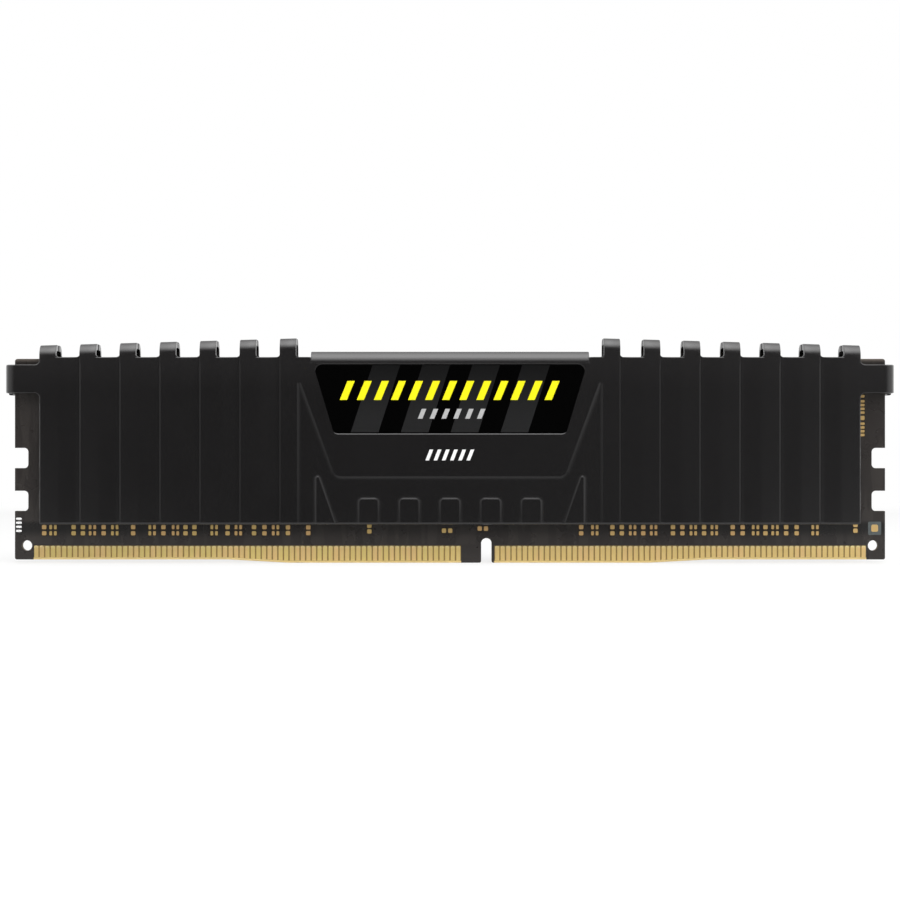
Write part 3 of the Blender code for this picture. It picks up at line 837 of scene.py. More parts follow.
@dataclass
class HeatSpreader:
    """Pressed sheet with ribs that curl over as fins, a top flap, end ears and a sunk middle field."""

    board_end: float = 66.675 * MM
    board_height: float = 31.25 * MM
    inner_face: float = 2.5 * MM
    sheet: float = 0.75 * MM
    relief: float = 0.25 * MM
    foot: float = 5.90 * MM
    foot_round: float = 0.44 * MM
    foot_skew: float = math.radians(10.0)
    foot_facets: int = 5
    top: float = 31.445 * MM
    top_round: float = 0.12 * MM
    top_turns: tuple[float, ...] = (0.0, 30.0, 60.0, 85.0)
    edge_round: float = 0.06 * MM
    ribs_per_wing: int = 7
    rib_width: float = 2.75 * MM
    rib_pitch: float = 6.1 * MM
    rib_first: float = 24.57 * MM
    rib_round_inner: float = 0.12 * MM
    rib_round_outer: float = 0.23 * MM
    rib_slope: float = 3.1 * MM
    rib_round_facets: int = 4
    rib_ease: tuple[Pair, ...] = ((0.0, 0.0), (0.06, 0.012), (0.12, 0.048), (0.2, 0.125), (0.8, 0.875),
                                  (0.88, 0.952), (0.94, 0.988), (0.97, 0.997), (1.0, 1.0))
    fin_rise_inner: float = 2.91 * MM
    fin_rise_outer: float = 1.81 * MM
    fin_bend: float = 1.85 * MM
    fin_width: float = 2.5 * MM
    fin_sheet: float = 0.95 * MM
    fin_fillet: float = 0.5 * MM
    fin_split: float = 1.0 * MM
    fin_edge: float = 0.07 * MM
    fin_root: float = 1.0 * MM
    flap_rise: float = 1.05 * MM
    flap_bend: float = 1.85 * MM
    flap_end_gap: float = 2.0 * MM
    flap_split: float = 0.6 * MM
    flap_root: float = 1.3 * MM
    flap_dip: float = 0.6 * MM
    flap_corner: float = 0.3 * MM
    ear_drop: float = 0.96 * MM
    ear_height: float = 4.36 * MM
    ear_reach: float = 1.11 * MM
    ear_bend: float = 1.45 * MM
    ear_fillet: float = 0.7 * MM
    ear_root: float = 1.5 * MM
    ear_split: float = 0.5 * MM
    ear_edge: float = 0.20 * MM
    ear_root_edge_share: float = 0.7
    rear_ear_growth: float = 0.27 * MM
    rear_ear_edge: float = 0.32 * MM
    field_margin: float = 0.1 * MM
    field_apex_drop: float = 3.46 * MM
    field_apex_round: float = 0.1 * MM
    panel_foot_rise: float = 7.18 * MM
    panel_foot_half: float = 17.6 * MM
    panel_foot_round: float = 1.4 * MM
    field_wall: Wall = Wall(0.155 * MM, 0.90 * MM, 0.29 * MM)
    boss_count: int = 5
    boss_pitch: float = 6.2 * MM
    boss_width: float = 3.0 * MM
    boss_rise: float = 3.97 * MM
    boss_round: float = 0.55 * MM
    boss_wall: Wall = Wall(0.15 * MM, 0.70 * MM, 0.19 * MM)
    boss_root: float = 0.2 * MM
    peak_outer: float = 20.45 * MM
    peak_width: float = 3.05 * MM
    peak_rise: float = 8.82 * MM
    peak_round: float = 0.3 * MM
    pocket_depth: float = 0.40 * MM
    pocket_lip: float = 0.24 * MM
    pocket_lip_turns: tuple[float, ...] = (12.0, 25.0, 38.0, 51.0, 64.0, 77.0, 90.0)
    pocket_drop: float = 1.15 * MM
    pocket_height: float = 10.46 * MM
    pocket_end_gap: float = 0.35 * MM
    pocket_slant: float = 3.15 * MM
    pocket_low_round: float = 0.85 * MM
    pocket_high_round: float = 1.05 * MM
    overrun: float = 1.0 * MM
    clearance: float = 0.1 * MM

    def __post_init__(self) -> None:
        """Work out the depths, heights and ends that follow from the sizes."""
        self.valley = -self.inner_face - self.sheet
        self.raised = self.valley - self.relief
        self.back = self.raised + self.sheet
        self.crown = self.raised + self.field_wall.depth - self.boss_wall.depth
        self.low_end = self.foot - self.overrun
        self.panel_end = self.rib_first - self.rib_width / 2
        self.field_side = self.panel_end - self.field_margin
        self.rib_last = self.rib_first + (self.ribs_per_wing - 1) * self.rib_pitch
        self.end = self.rib_last + self.rib_width / 2
        self.flap_end = self.panel_end - self.flap_end_gap
        self.flap_top = self.board_height + self.flap_rise
        self.fin_offset = (self.rib_width - self.fin_width) / 2
        self.ear_end = self.board_end + self.ear_reach
        self.rib_centres = [self.rib_first + index * self.rib_pitch for index in range(self.ribs_per_wing)]
        middles = [(index - (self.boss_count - 1) / 2) * self.boss_pitch for index in range(self.boss_count)]
        self.boss_sides = [(x - self.boss_width / 2, x + self.boss_width / 2) for x in middles]

    def sheet_outline(self) -> Outline:
        """The flat sheet, with a filleted root under every fin."""
        corners = [(-self.end, self.low_end, 0.0), (self.end, self.low_end, 0.0)]
        shoulder = self.top + self.fin_fillet + TINY
        for x in [*reversed(self.rib_centres), *(-x for x in self.rib_centres)]:
            if x == -self.rib_first:
                gap, low = self.flap_end + TINY, self.top - self.flap_dip
                corners += [(gap, self.top, 0.0), (gap, low, 0.0), (-gap, low, 0.0), (-gap, self.top, 0.0)]
            for side, z in ((1, self.top), (1, shoulder), (-1, shoulder), (-1, self.top)):
                edge = x + math.copysign(self.fin_offset, x) + side * (self.fin_width / 2 - TINY)
                if abs(edge) > self.rib_last:
                    if z == self.top:
                        continue
                    edge = math.copysign(self.end, x)
                corners.append((edge, z, self.fin_fillet if z == self.top else 0.0))
        return Outline(tuple(corners))

    def rib_section(self, x: float) -> list[Pair]:
        """Section of a rib of the right wing: a long slope inside and a tight round outside.

        Args:
            x: middle of the rib.

        Returns:
            (X, depth) of each point, outwards.
        """
        share = (x - self.rib_first) / (self.rib_last - self.rib_first)
        turn = self.rib_round_inner + share * (self.rib_round_outer - self.rib_round_inner)
        inner, outer, low = x - self.rib_width / 2, x + self.rib_width / 2, self.valley + 2 * NEST
        section = [(inner - self.rib_slope * (1 - across), low + rise * (self.raised - low))
                   for across, rise in self.rib_ease]
        section += [(outer - turn * (1 - math.sin(angle)), self.raised + turn * (1 - math.cos(angle)))
                    for angle in arc(QUARTER, self.rib_round_facets)]
        return [*section, (outer + NEST, low)]

    def strips(self) -> Solid:
        """The raised ribs of both wings, rounded over along the top."""
        solid, turn = Solid(), self.top_round
        levels = [(0.0, self.low_end)]
        for angle in map(math.radians, self.top_turns):
            levels.append((turn * (1 - math.cos(angle)), self.top - TINY - turn * (1 - math.sin(angle))))
        for wing in Wing:
            for section in map(self.rib_section, self.rib_centres):
                rear = [(section[-1][0], self.back), (section[0][0], self.back)]
                rings = [([*((u, y + inward) for u, y in section), *rear], z) for inward, z in levels]
                solid.loft([[(wing.value * u, y, z) for u, y in ring] for ring, z in rings])
        return solid

    def panel_outline(self) -> Outline:
        """The raised middle panel, let down along the top where the flap bends away."""
        low = self.flap_top - self.flap_bend + self.clearance
        return Outline.balanced((-self.flap_end, low, 0.0), (-self.flap_end, self.top, self.flap_corner),
                                (-self.rib_first, self.top, 0.0), (-self.rib_first, self.low_end, 0.0))

    def fins(self) -> CurledTabs:
        """The fins: the ribs' own tops, curled over, on a line that falls towards the ends."""
        fall = (self.fin_rise_inner - self.fin_rise_outer) / (self.end - self.panel_end)
        crest = self.top + self.fin_rise_inner - fall * (self.rib_first - self.panel_end)
        return CurledTabs("fins", self.fin_width - 2 * NEST, self.fin_sheet, self.fin_bend,
                          self.raised + NEST, self.top - self.fin_root, crest, -self.fin_split / 2,
                          self.fin_edge, self.rib_first + self.fin_offset, self.rib_pitch,
                          self.ribs_per_wing, fall, True)

    def flap(self) -> CurledTabs:
        """The flap along the middle of the top edge."""
        return CurledTabs("flap", 2 * self.flap_end, self.sheet - 2 * NEST, self.flap_bend,
                          self.raised + NEST, self.top - self.flap_root, self.flap_top, -self.flap_split / 2,
                          self.fin_edge)

    def ear(self, wing: Wing, material: Material) -> list[Piece]:
        """An ear: its flat root, filleted where it leaves the sheet, and its fold, a tab laid on its side.

        Args:
            wing: which end.
            material: what the sheet is made of.

        Returns:
            The root and the fold.
        """
        high = self.board_height - self.ear_drop
        low = high - self.ear_height
        inside, outside, turn = self.end - self.ear_root, self.ear_end - self.ear_bend, self.end - TINY
        base, crown = low - self.ear_root, high + self.ear_fillet + TINY
        root = Outline((
            (inside, base, 0.0), (turn, base, 0.0), (turn, low, self.ear_fillet), (outside, low, 0.0),
            (outside, high, 0.0), (turn, high, self.ear_fillet), (turn, crown, 0.0), (inside, crown, 0.0)))
        body = Solid().slab(root.mirrored() if wing is Wing.LEFT else root, self.raised + 2 * NEST,
                            self.back - 2 * NEST, self.ear_root_edge_share * self.ear_edge)
        fold = CurledTabs("ear_fold", self.ear_height - 2 * NEST, self.sheet - 2 * NEST, self.ear_bend,
                          self.raised + NEST, outside - self.ear_root, self.ear_end, -self.ear_split / 2,
                          self.ear_edge).build(material)
        tilt = Matrix.Rotation(QUARTER * wing.value, 4, "Y")
        fold.data.transform(Matrix.Translation((0.0, 0.0, high - self.ear_height / 2)) @ tilt)
        return [body.piece("ear_root"), fold]

    def field_punch(self) -> Solid:
        """A punch that sinks the field, up both sides of the panel and under its foot."""
        outline = Outline.balanced(
            (self.field_side, self.low_end - self.overrun, 0.0),
            (self.field_side, self.top - self.field_apex_drop, self.field_apex_round),
            (self.panel_foot_half, self.foot + self.panel_foot_rise, self.panel_foot_round))
        section = self.field_wall.section()[1:]
        mouth = outline.grown(self.clearance - section[0][0])
        loops = [mouth.loop(self.raised - depth) for depth in (self.overrun, TINY)]
        loops += [outline.grown(-across).loop(self.raised + down) for across, down in section]
        return Solid().loft(loops)

    def bosses(self) -> Solid:
        """The bosses and the two peaks, rooted in the field."""
        ends = (self.low_end, self.foot + self.boss_rise)
        outlines = [upright(sides, ends, 0.0, self.boss_round) for sides in self.boss_sides]
        slant = self.peak_outer - self.peak_width * (self.peak_rise + self.overrun) / self.peak_rise
        peak = Outline(((slant, self.low_end, 0.0), (self.peak_outer, self.low_end, 0.0),
                        (self.peak_outer, self.foot + self.peak_rise, self.peak_round)))
        solid = Solid()
        for outline in [*outlines, peak, peak.mirrored()]:
            loops = [outline.grown(across).loop(self.crown + down)
                     for across, down in self.boss_wall.section()]
            last = [(x, y + TINY, z) for x, y, z in loops.pop()]
            solid.loft([*loops, last, [(x, y + self.boss_root, z) for x, y, z in last]])
        return solid

    def pocket_outline(self, lip: float = 0.0) -> Outline:
        """The badge's pocket, wider at the top, let out above and below.

        Args:
            lip: how far it is let out.

        Returns:
            The outline.
        """
        spread = self.pocket_slant * lip / self.pocket_height
        top = self.top - self.pocket_drop + lip
        bottom = self.top - self.pocket_drop - self.pocket_height - lip
        wide = self.flap_end - self.pocket_end_gap + spread
        narrow = wide - self.pocket_slant - 2 * spread
        low, high = self.pocket_low_round, self.pocket_high_round
        return Outline(((-narrow, bottom, low), (narrow, bottom, low), (wide, top, high), (-wide, top, high)))

    def pocket_punch(self) -> Solid:
        """A punch for the pocket: straight at the ends, and rounded along its lower and upper lips."""
        turn = self.pocket_lip
        loops = [self.pocket_outline(turn).loop(self.raised - depth) for depth in (self.overrun, TINY)]
        for angle in map(math.radians, self.pocket_lip_turns):
            lip = self.pocket_outline(turn * (1 - math.sin(angle)))
            loops.append(lip.loop(self.raised + turn * (1 - math.cos(angle))))
        return Solid().loft([*loops, self.pocket_outline().loop(self.raised + self.pocket_depth)])

    def foot_section(self) -> list[Pair]:
        """X and depth of the front along the foot of the right half, outwards from the middle."""
        wall = self.boss_wall.section()
        slant = math.hypot(self.peak_width, self.peak_rise) / self.peak_rise
        stands = [(*sides, 1.0) for sides in self.boss_sides]
        section = []
        for left, right, stretch in [*stands, (self.peak_outer - self.peak_width, self.peak_outer, slant)]:
            section += [(left - across * stretch, self.crown + down) for across, down in reversed(wall)]
            section += [(right + across, self.crown + down) for across, down in wall]
        section += [(self.field_side - across, self.raised + down)
                    for across, down in reversed(self.field_wall.section())]
        for x in self.rib_centres:
            section += self.rib_section(x)[len(self.rib_ease) if x == self.rib_first else 0:]
        outer = (self.end + self.overrun, self.valley)
        return [(0.0, self.crown), *((u, y) for u, y in section if u > TINY), outer]

    def foot_cutter(self) -> Solid:
        """A cutter that trims the foot and rounds its front edge all along the relief."""
        right = self.foot_section()
        turn, inset = self.foot_round, self.foot_round * math.cos(self.foot_skew)
        under, before = self.low_end - self.overrun, self.raised - self.overrun
        rest = [(0.0, self.foot), (0.0, under), (before, under), (before, self.foot + inset)]
        loops = []
        for x, front in [*((-u, y) for u, y in reversed(right[1:])), *right]:
            round_edge = [(front + inset - turn * math.cos(angle), self.foot + inset - turn * math.sin(angle))
                          for angle in arc(QUARTER - self.foot_skew, self.foot_facets)]
            loops.append([(x, y, z) for y, z in round_edge + rest])
        return Solid().loft(loops)

    def build(self, face: Face, material: Material) -> Piece:
        """Put one spreader together.

        Args:
            face: the face of the module that it covers.
            material: its finish.

        Returns:
            The spreader.
        """
        sheet = Solid().slab(self.sheet_outline(), self.valley, -self.inner_face, self.edge_round)
        panel = Solid().slab(self.panel_outline(), self.raised, self.back, self.edge_round)
        spreader = sheet.piece(f"{face.name.lower()}_spreader")
        tools = [panel.piece("panel"), self.strips().piece("strips"), self.fins().build(material),
                 self.flap().build(material)]
        for wing in Wing:
            tools += self.ear(wing, material)
        for tool in tools:
            combine(spreader, "UNION", tool)
        combine(spreader, "DIFFERENCE", self.field_punch().piece("field"))
        combine(spreader, "UNION", self.bosses().piece("bosses"))
        combine(spreader, "DIFFERENCE", self.pocket_punch().piece("pocket"))
        combine(spreader, "DIFFERENCE", self.foot_cutter().piece("foot_cutter"))
        polish(spreader, material)
        if face is Face.REAR:
            spreader.data.transform(Matrix.Rotation(math.pi, 4, "Z"))
        return spreader

    def rear(self) -> HeatSpreader:
        """The spreader of the rear face, the same but for its longer ears."""
        return replace(self, ear_height=self.ear_height + self.rear_ear_growth, ear_edge=self.rear_ear_edge)


@dataclass(frozen=True)
class PadRow:
    """Bare pads of one size, in columns and rows, in millimetres."""

    columns: tuple[float, ...]
    rows: tuple[float, ...]
    width: float
    height: float


@dataclass(frozen=True)
class Lane:
    """Pads under one chip: single pads, and two lots of four for the arrays, in millimetres."""

    middle: float
    arrays: float
    singles: tuple[float, ...]
    half_pitch: float = 0.353
    rows: tuple[float, ...] = (5.46, 4.52)
    height: float = 0.64
    single_width: float = 0.67
    array_width: float = 0.42

    def pads(self) -> list[PadRow]:
        """The lane's pads: the single ones, then the narrower ones of the arrays."""
        fours = [side * self.arrays + step * self.half_pitch for side in (-1, 1) for step in (-1, 1)]
        return [PadRow(tuple(self.middle + offset for offset in offsets), self.rows, width, self.height)
                for offsets, width in ((self.singles, self.single_width), (fours, self.array_width))]


LANES = (
    Lane(-57.822, 3.021, (-4.371, 0.138, 1.564)), Lane(-48.512, 2.868, (-4.571, -0.046)),
    Lane(-39.110, 2.968, (-4.816, -1.426, -0.061)), Lane(-29.586, 2.853, (-4.509, -0.445, 1.150)),
    Lane(25.092, 2.899, (-4.985, -0.199, 1.242)), Lane(34.248, 3.044, (-4.632, -0.077, 1.365)),
    Lane(43.666, 3.160, (-4.724, -0.337, 1.181)), Lane(52.883, 3.067, (-4.540, -1.365, 0.245)))
ODD_PADS = (
    PadRow((-24.831, -21.718), (4.55, 5.42), 0.67, 0.65), PadRow((-12.362,), (4.80, 5.67), 0.67, 0.65),
    PadRow((62.132,), (4.92, 5.79), 0.67, 0.65), PadRow((-0.920, 0.031), (4.92,), 0.65, 0.68),
    PadRow((4.555, 5.506), (5.24,), 0.65, 0.68), PadRow((63.221,), (25.52,), 0.62, 0.40),
    PadRow((63.221,), (22.19,), 0.62, 0.64),
    PadRow((63.221,), (24.75, 24.17, 23.59, 23.01, 21.32, 20.74, 20.16, 19.58), 0.62, 0.38))
FIDUCIAL = (PadRow((65.077,), (5.30,), 1.05, 1.1),)
SIGHT_WINDOW = (PadRow((65.077,), (5.28,), 2.0, 2.05),)
LOT_MARKS = (PadRow((-66.074,), (6.75, 6.13, 5.51, 4.89), 0.85, 0.34),)


@dataclass
class CircuitBoard:
    """Keyed edge-connector board with its gold contacts and the bare footprints on its front."""

    end: float = 66.675 * MM
    height: float = 31.25 * MM
    face: float = 0.7 * MM
    foot_round: float = 0.3 * MM
    top_round: float = 0.4 * MM
    edge_step: float = 0.5 * MM
    edge_ramp: float = 9.3 * MM
    flat_left: float = 24.7 * MM
    flat_right: float = 30.5 * MM
    key_centre: float = 5.57 * MM
    key_width: float = 1.6 * MM
    key_height: float = 3.77 * MM
    notch_height: float = 3.1 * MM
    notch_depth: float = 2.05 * MM
    notch_round: float = 0.6 * MM
    notch_mouth: float = 0.04 * MM
    notch_centre: float = 9.48 * MM
    notch_pitch: float = 6.57 * MM
    hole: float = 1.6 * MM
    hole_inset: float = 1.83 * MM
    hole_height: float = 2.64 * MM
    hole_facets: int = 48
    flat_from: float = 0.95
    bevel_rise: float = 0.32 * MM
    bevel_depth: float = 0.22 * MM
    bevel_end: float = 63.8 * MM
    bevel_key_left: float = 3.87 * MM
    bevel_key_right: float = 1.23 * MM
    contact_pitch: float = 0.851 * MM
    contact_width: float = 0.63 * MM
    contact_top: float = 2.6 * MM
    contact_round: float = 0.2 * MM
    contact_edge: float = 0.03 * MM
    contact_rise: float = 0.05 * MM
    contact_cut: float = 1.0 * MM
    contact_first_left: float = 4.295 * MM
    contact_first_right: float = 1.655 * MM
    contacts_left: int = 77
    contacts_right: int = 67
    window_rise: float = 0.01 * MM
    window_round: float = 0.10
    opening_rise: float = 0.015 * MM
    opening_margin: float = 0.1 * MM
    pad_rise: float = 0.03 * MM
    mark_rise: float = 0.015 * MM

    def __post_init__(self) -> None:
        """Work out the places beside the key slot."""
        self.bevel_stop_left = self.key_centre - self.bevel_key_left
        self.bevel_stop_right = self.key_centre + self.bevel_key_right
        self.first_on_the_left = self.key_centre - self.contact_first_left
        self.first_on_the_right = self.key_centre + self.contact_first_right

    def edge_height(self, x: float) -> float:
        """Height of the lower edge, which steps up towards both ends."""
        past = x - self.flat_right if x > 0 else -x - self.flat_left
        return self.edge_step * min(max(past / self.edge_ramp, 0.0), 1.0)

    def bevelled(self, x: float, z: float) -> bool:
        """Whether a point of the outline lies on the bevel under the contacts."""
        beside_key = x < self.bevel_stop_left + NEST or x > self.bevel_stop_right - NEST
        return beside_key and abs(x) < self.bevel_end + NEST and z < self.edge_height(x) + NEST

    def notches(self, side: int) -> list[Point]:
        """Corners of the latch notches on one end.

        Args:
            side: -1 on the left, 1 on the right.

        Returns:
            The corners, listed upwards.
        """
        end, floor, half = side * self.end, side * (self.end - self.notch_depth), self.notch_height / 2
        corners: list[Point] = []
        for centre in (self.notch_centre, self.notch_centre + self.notch_pitch):
            low, high = centre - half, centre + half
            corners += [(end, low, self.notch_mouth), (floor, low, self.notch_round),
                        (floor, high, self.notch_round), (end, high, self.notch_mouth)]
        return corners

    def outline(self) -> Outline:
        """The board in front view, anticlockwise from the lower left."""
        half, bevel, step, turn = self.key_width / 2, self.bevel_end, self.edge_step, self.foot_round
        left, right = self.key_centre - half, self.key_centre + half
        return Outline((
            (-self.end, step, turn), (-bevel - TINY, step, 0.0), (-bevel, step, 0.0),
            (-self.flat_left - self.edge_ramp, step, 0.0), (-self.flat_left, 0.0, 0.0),
            (self.bevel_stop_left, 0.0, 0.0), (self.bevel_stop_left + TINY, 0.0, 0.0),
            (left, 0.0, turn), (left, self.key_height, half - TINY),
            (right, self.key_height, half - TINY), (right, 0.0, turn),
            (self.bevel_stop_right - TINY, 0.0, 0.0), (self.bevel_stop_right, 0.0, 0.0),
            (self.flat_right, 0.0, 0.0), (self.flat_right + self.edge_ramp, step, 0.0),
            (bevel, step, 0.0), (bevel + TINY, step, 0.0), (self.end, step, turn), *self.notches(1),
            (self.end, self.height, self.top_round), (-self.end, self.height, self.top_round),
            *reversed(self.notches(-1))))

    def build_slab(self, mask: Material, laminate: Material) -> Piece:
        """The board itself, bevelled along its contact edge.

        Args:
            mask: finish of the faces.
            laminate: finish of the cut edges.

        Returns:
            The board.
        """
        edge = [(x, z) for x, _, z in self.outline().loop(0.0)]
        lifted = [(x, z + self.bevel_rise if self.bevelled(x, z) else z) for x, z in edge]
        core = self.face - self.bevel_depth
        levels = ((-self.face, lifted), (-core, edge), (core, edge), (self.face, lifted))
        board = Solid().loft([[(x, y, z) for x, z in ring] for y, ring in levels]).piece("board")
        holes, radius = Solid(), self.hole / 2
        for middle in (self.hole_inset - self.end, self.end - self.hole_inset):
            ring = [(middle + radius * math.cos(turn), self.hole_height + radius * math.sin(turn))
                    for turn in arc(2 * math.pi, self.hole_facets)[:-1]]
            holes.loft([[(x, y, z) for x, z in ring] for y in (-2 * self.face, 2 * self.face)])
        combine(board, "DIFFERENCE", holes.piece("holes"))
        polish(board, mask)
        dress_faces(board, laminate, lambda polygon: abs(polygon.normal.y) <= self.flat_from)
        return board

    def build_contacts(self, gold: Material) -> Piece:
        """Both rows of contacts, each finger cut to the slope of the edge below it.

        Args:
            gold: their plating.

        Returns:
            The contacts.
        """
        half = self.contact_width / 2
        shape = upright((-half, half), (self.bevel_rise + self.contact_edge, self.contact_top), 0.0,
                        self.contact_round, 2 * ARC_STEP)
        finger = Solid().slab(shape, -self.face - self.contact_rise, TINY - self.face, self.contact_edge, 1)
        graph = ShapeGraph("contact_row")
        pitch, left, right, step, ramp, flat_left, flat_right, count_left, count_right = graph.sizes(
            self, "contact_pitch", "first_on_the_left", "first_on_the_right", "edge_step", "edge_ramp",
            "flat_left", "flat_right", "contacts_left", "contacts_right")
        points = graph.joined(graph.row(left, 0.0 - pitch, count_left), graph.row(right, pitch, count_right))
        x, _, z = graph.position()
        past = (x - flat_right).at_least(0.0 - x - flat_left) / ramp
        lift = past.at_least(0.0).at_most(1.0) * step
        row = graph.raised(graph.copies(points, graph.entry()), lift, z < self.contact_cut)
        turned = graph.node("GeometryNodeTransform", {}, {"Geometry": row, "Scale": (1.0, -1.0, 1.0)})
        rear = graph.node("GeometryNodeFlipFaces", {}, {"Mesh": turned})
        return graph.bake("contacts", graph.joined(row, rear), gold, finger.mesh("finger"))

    def build_pads(self, name: str, pads: Iterable[PadRow], rise: float, material: Material,
                   margin: float = 0.0, rounding: float = 0.24) -> Piece:
        """Flat pads on the front face, rounded at their corners.

        Args:
            name: name of the piece.
            pads: their places and sizes.
            rise: how far they stand off the board.
            material: what they are made of.
            margin: how far each is let out all round.
            rounding: radius of their corners, as a share of their width.

        Returns:
            The pads.
        """
        spots = [(x, z, pad) for pad in pads for z in pad.rows for x in pad.columns]
        base = bpy.data.meshes.new(name)
        base.from_pydata([(x * MM, -self.face, z * MM) for x, z, _ in spots], [], [])
        for size in ("width", "height"):
            values = [getattr(pad, size) * MM + 2 * margin for _, _, pad in spots]
            base.attributes.new(f"pad_{size}", "FLOAT", "POINT").data.foreach_set("value", values)
        graph = ShapeGraph(name)
        square = graph.box(1.0, 1.0, graph.size("Corner share", rounding))
        offset = graph.vector(0.0, 0.0 - graph.size("Rise", rise), 0.0)
        sheet = graph.node("GeometryNodeFillCurve", {"mode": "NGONS"}, {"Curve": square})
        sheet = graph.node("GeometryNodeTransform", {}, {
            "Geometry": sheet, "Rotation": Euler((QUARTER, 0.0, 0.0))})
        raised = graph.node("GeometryNodeExtrudeMesh", {"mode": "FACES"},
                            {"Mesh": sheet, "Offset": offset, "Individual": False})
        pad = graph.joined(raised, graph.node("GeometryNodeFlipFaces", {}, {"Mesh": sheet}))
        pad = graph.node("GeometryNodeMergeByDistance", {}, {"Geometry": pad, "Distance": 2 * WELD})
        width, height = (graph.node("GeometryNodeInputNamedAttribute", {"data_type": "FLOAT"}, {"Name": name})
                         for name in ("pad_width", "pad_height"))
        points = graph.node("GeometryNodeMeshToPoints", {}, {"Mesh": graph.entry()})
        placed = graph.node("GeometryNodeInstanceOnPoints", {}, {
            "Points": points, "Instance": pad, "Scale": graph.vector(width, 1.0, height)})
        return graph.bake(name, placed, material, base)


@dataclass(frozen=True)
class InkRow:
    """A row of equal slanted bars of ink."""

    name: str
    depth: float
    low: float
    high: float
    width: float
    lean: float
    first: float
    pitch: float
    count: int
    thickness: float = 0.012 * MM

    def build(self, ink: Material) -> Piece:
        """Print the row.

        Args:
            ink: its colour.

        Returns:
            The row.
        """
        low, high, width, lean = self.low, self.high, self.width, self.lean
        ring = [(0.0, low), (width, low), (width + lean, high), (lean, high)]
        levels = (self.depth - self.thickness, self.depth + TINY)
        bar = Solid().loft([[(x, y, z) for x, z in ring] for y in levels])
        graph = ShapeGraph(self.name)
        row = graph.row(*graph.sizes(self, "first", "pitch", "count"))
        return graph.bake(self.name, graph.copies(row, graph.entry()), ink, bar.mesh(self.name))


@dataclass
class Badge:
    """Gloss plate in the spreader's pocket, with a plain printed pattern of slanted bars."""

    front: float = -3.40 * MM
    back: float = -3.15 * MM
    inset: float = 0.01 * MM
    edge_round: float = 0.06 * MM
    facet_depth: float = 0.006 * MM

    def build_plate(self, pocket: Outline, gloss: Material) -> Piece:
        """The plate, a little smaller than its pocket.

        Args:
            pocket: outline of the pocket.
            gloss: its finish.

        Returns:
            The plate.
        """
        plate = Solid().slab(pocket.grown(-self.inset), self.front, self.back, self.edge_round).piece("badge")
        polish(plate, gloss)
        return plate

    def rows(self, panel: float) -> list[InkRow]:
        """The printed rows: three on the plate and, below it, one at the depth of the panel."""
        plate = self.front
        return [
            InkRow("badge_facets", plate + self.facet_depth, 19.97 * MM, 30.2 * MM, 4.2 * MM, 3.3 * MM,
                   -15.1 * MM, 7.6 * MM, 4),
            InkRow("badge_bars", plate, 24.9 * MM, 27.8 * MM, 1.1 * MM, 1.2 * MM, -16.8 * MM, 2.6 * MM, 13),
            InkRow("badge_dashes", plate, 22.05 * MM, 23.55 * MM, 0.7 * MM, 0.6 * MM, -4.9 * MM, 1.8 * MM, 6),
            InkRow("panel_ticks", panel, 15.7 * MM, 17.35 * MM, 0.55 * MM, 0.65 * MM,
                   -3.75 * MM, 1.25 * MM, 6)]


@dataclass
class RearParts:
    """Small parts in the strip above the contacts on the rear face, at the same places under every chip."""

    seat: float = 0.75 * MM
    strip: float = 4.95 * MM
    lane_pitch: float = 9.33 * MM
    first_lane_on_the_left: float = -57.745 * MM
    first_lane_on_the_right: float = 25.005 * MM
    lanes: int = 4
    length: float = 1.0 * MM
    thickness: float = 0.35 * MM
    terminal: float = 0.22 * MM
    tuck: float = 0.03 * MM
    edge_round: float = 0.05 * MM
    plated_from: float = 0.27 * MM
    resistor_width: float = 0.5 * MM
    resistor_places: tuple[float, ...] = (-4.6 * MM, -0.1 * MM, 1.3 * MM)
    array_width: float = 1.0 * MM
    array_places: tuple[float, ...] = (-2.95 * MM, 2.95 * MM)

    def part(self, width: float) -> Mesh:
        """A two-ended part with rounded plated ends, standing on the rear face at X = 0.

        Args:
            width: its width along X.

        Returns:
            The part.
        """
        end, tuck, shoulder = self.length / 2, self.tuck, self.length / 2 - self.terminal
        loops = []
        for z, inset in ((-end, tuck), (tuck - end, 0.0), (-shoulder - tuck / 2, 0.0), (-shoulder, tuck),
                         (shoulder, tuck), (shoulder + tuck / 2, 0.0), (end - tuck, 0.0), (end, tuck)):
            half = width / 2 - inset
            outline = upright((-half, half), (inset, self.thickness - inset), self.edge_round,
                              self.edge_round, 3 * ARC_STEP)
            loops.append([(point.x, self.seat + point.y, self.strip + z) for point in outline.points()])
        return Solid().loft(loops).mesh("part")

    def build(self, name: str, width: float, offsets: Sequence[float], body: Material,
              tin: Material) -> Piece:
        """Set one kind of part out under every chip.

        Args:
            name: name of the piece.
            width: width of a part.
            offsets: its places from the middle of a chip's lane.
            body: finish of the ceramic.
            tin: finish of the ends.

        Returns:
            All the copies.
        """
        graph = ShapeGraph(name)
        pitch, left, right, count = graph.sizes(
            self, "lane_pitch", "first_lane_on_the_left", "first_lane_on_the_right", "lanes")
        rows = []
        for number, offset in enumerate(offsets, start=1):
            shift = graph.size(f"Place {number} in the lane", offset)
            rows += [graph.row(first + shift, pitch, count) for first in (left, right)]
        parts = graph.copies(graph.joined(*rows), graph.entry())
        piece = graph.bake(name, parts, body, self.part(width))
        dress_faces(piece, tin, lambda polygon: abs(polygon.center.z - self.strip) > self.plated_from)
        return piece


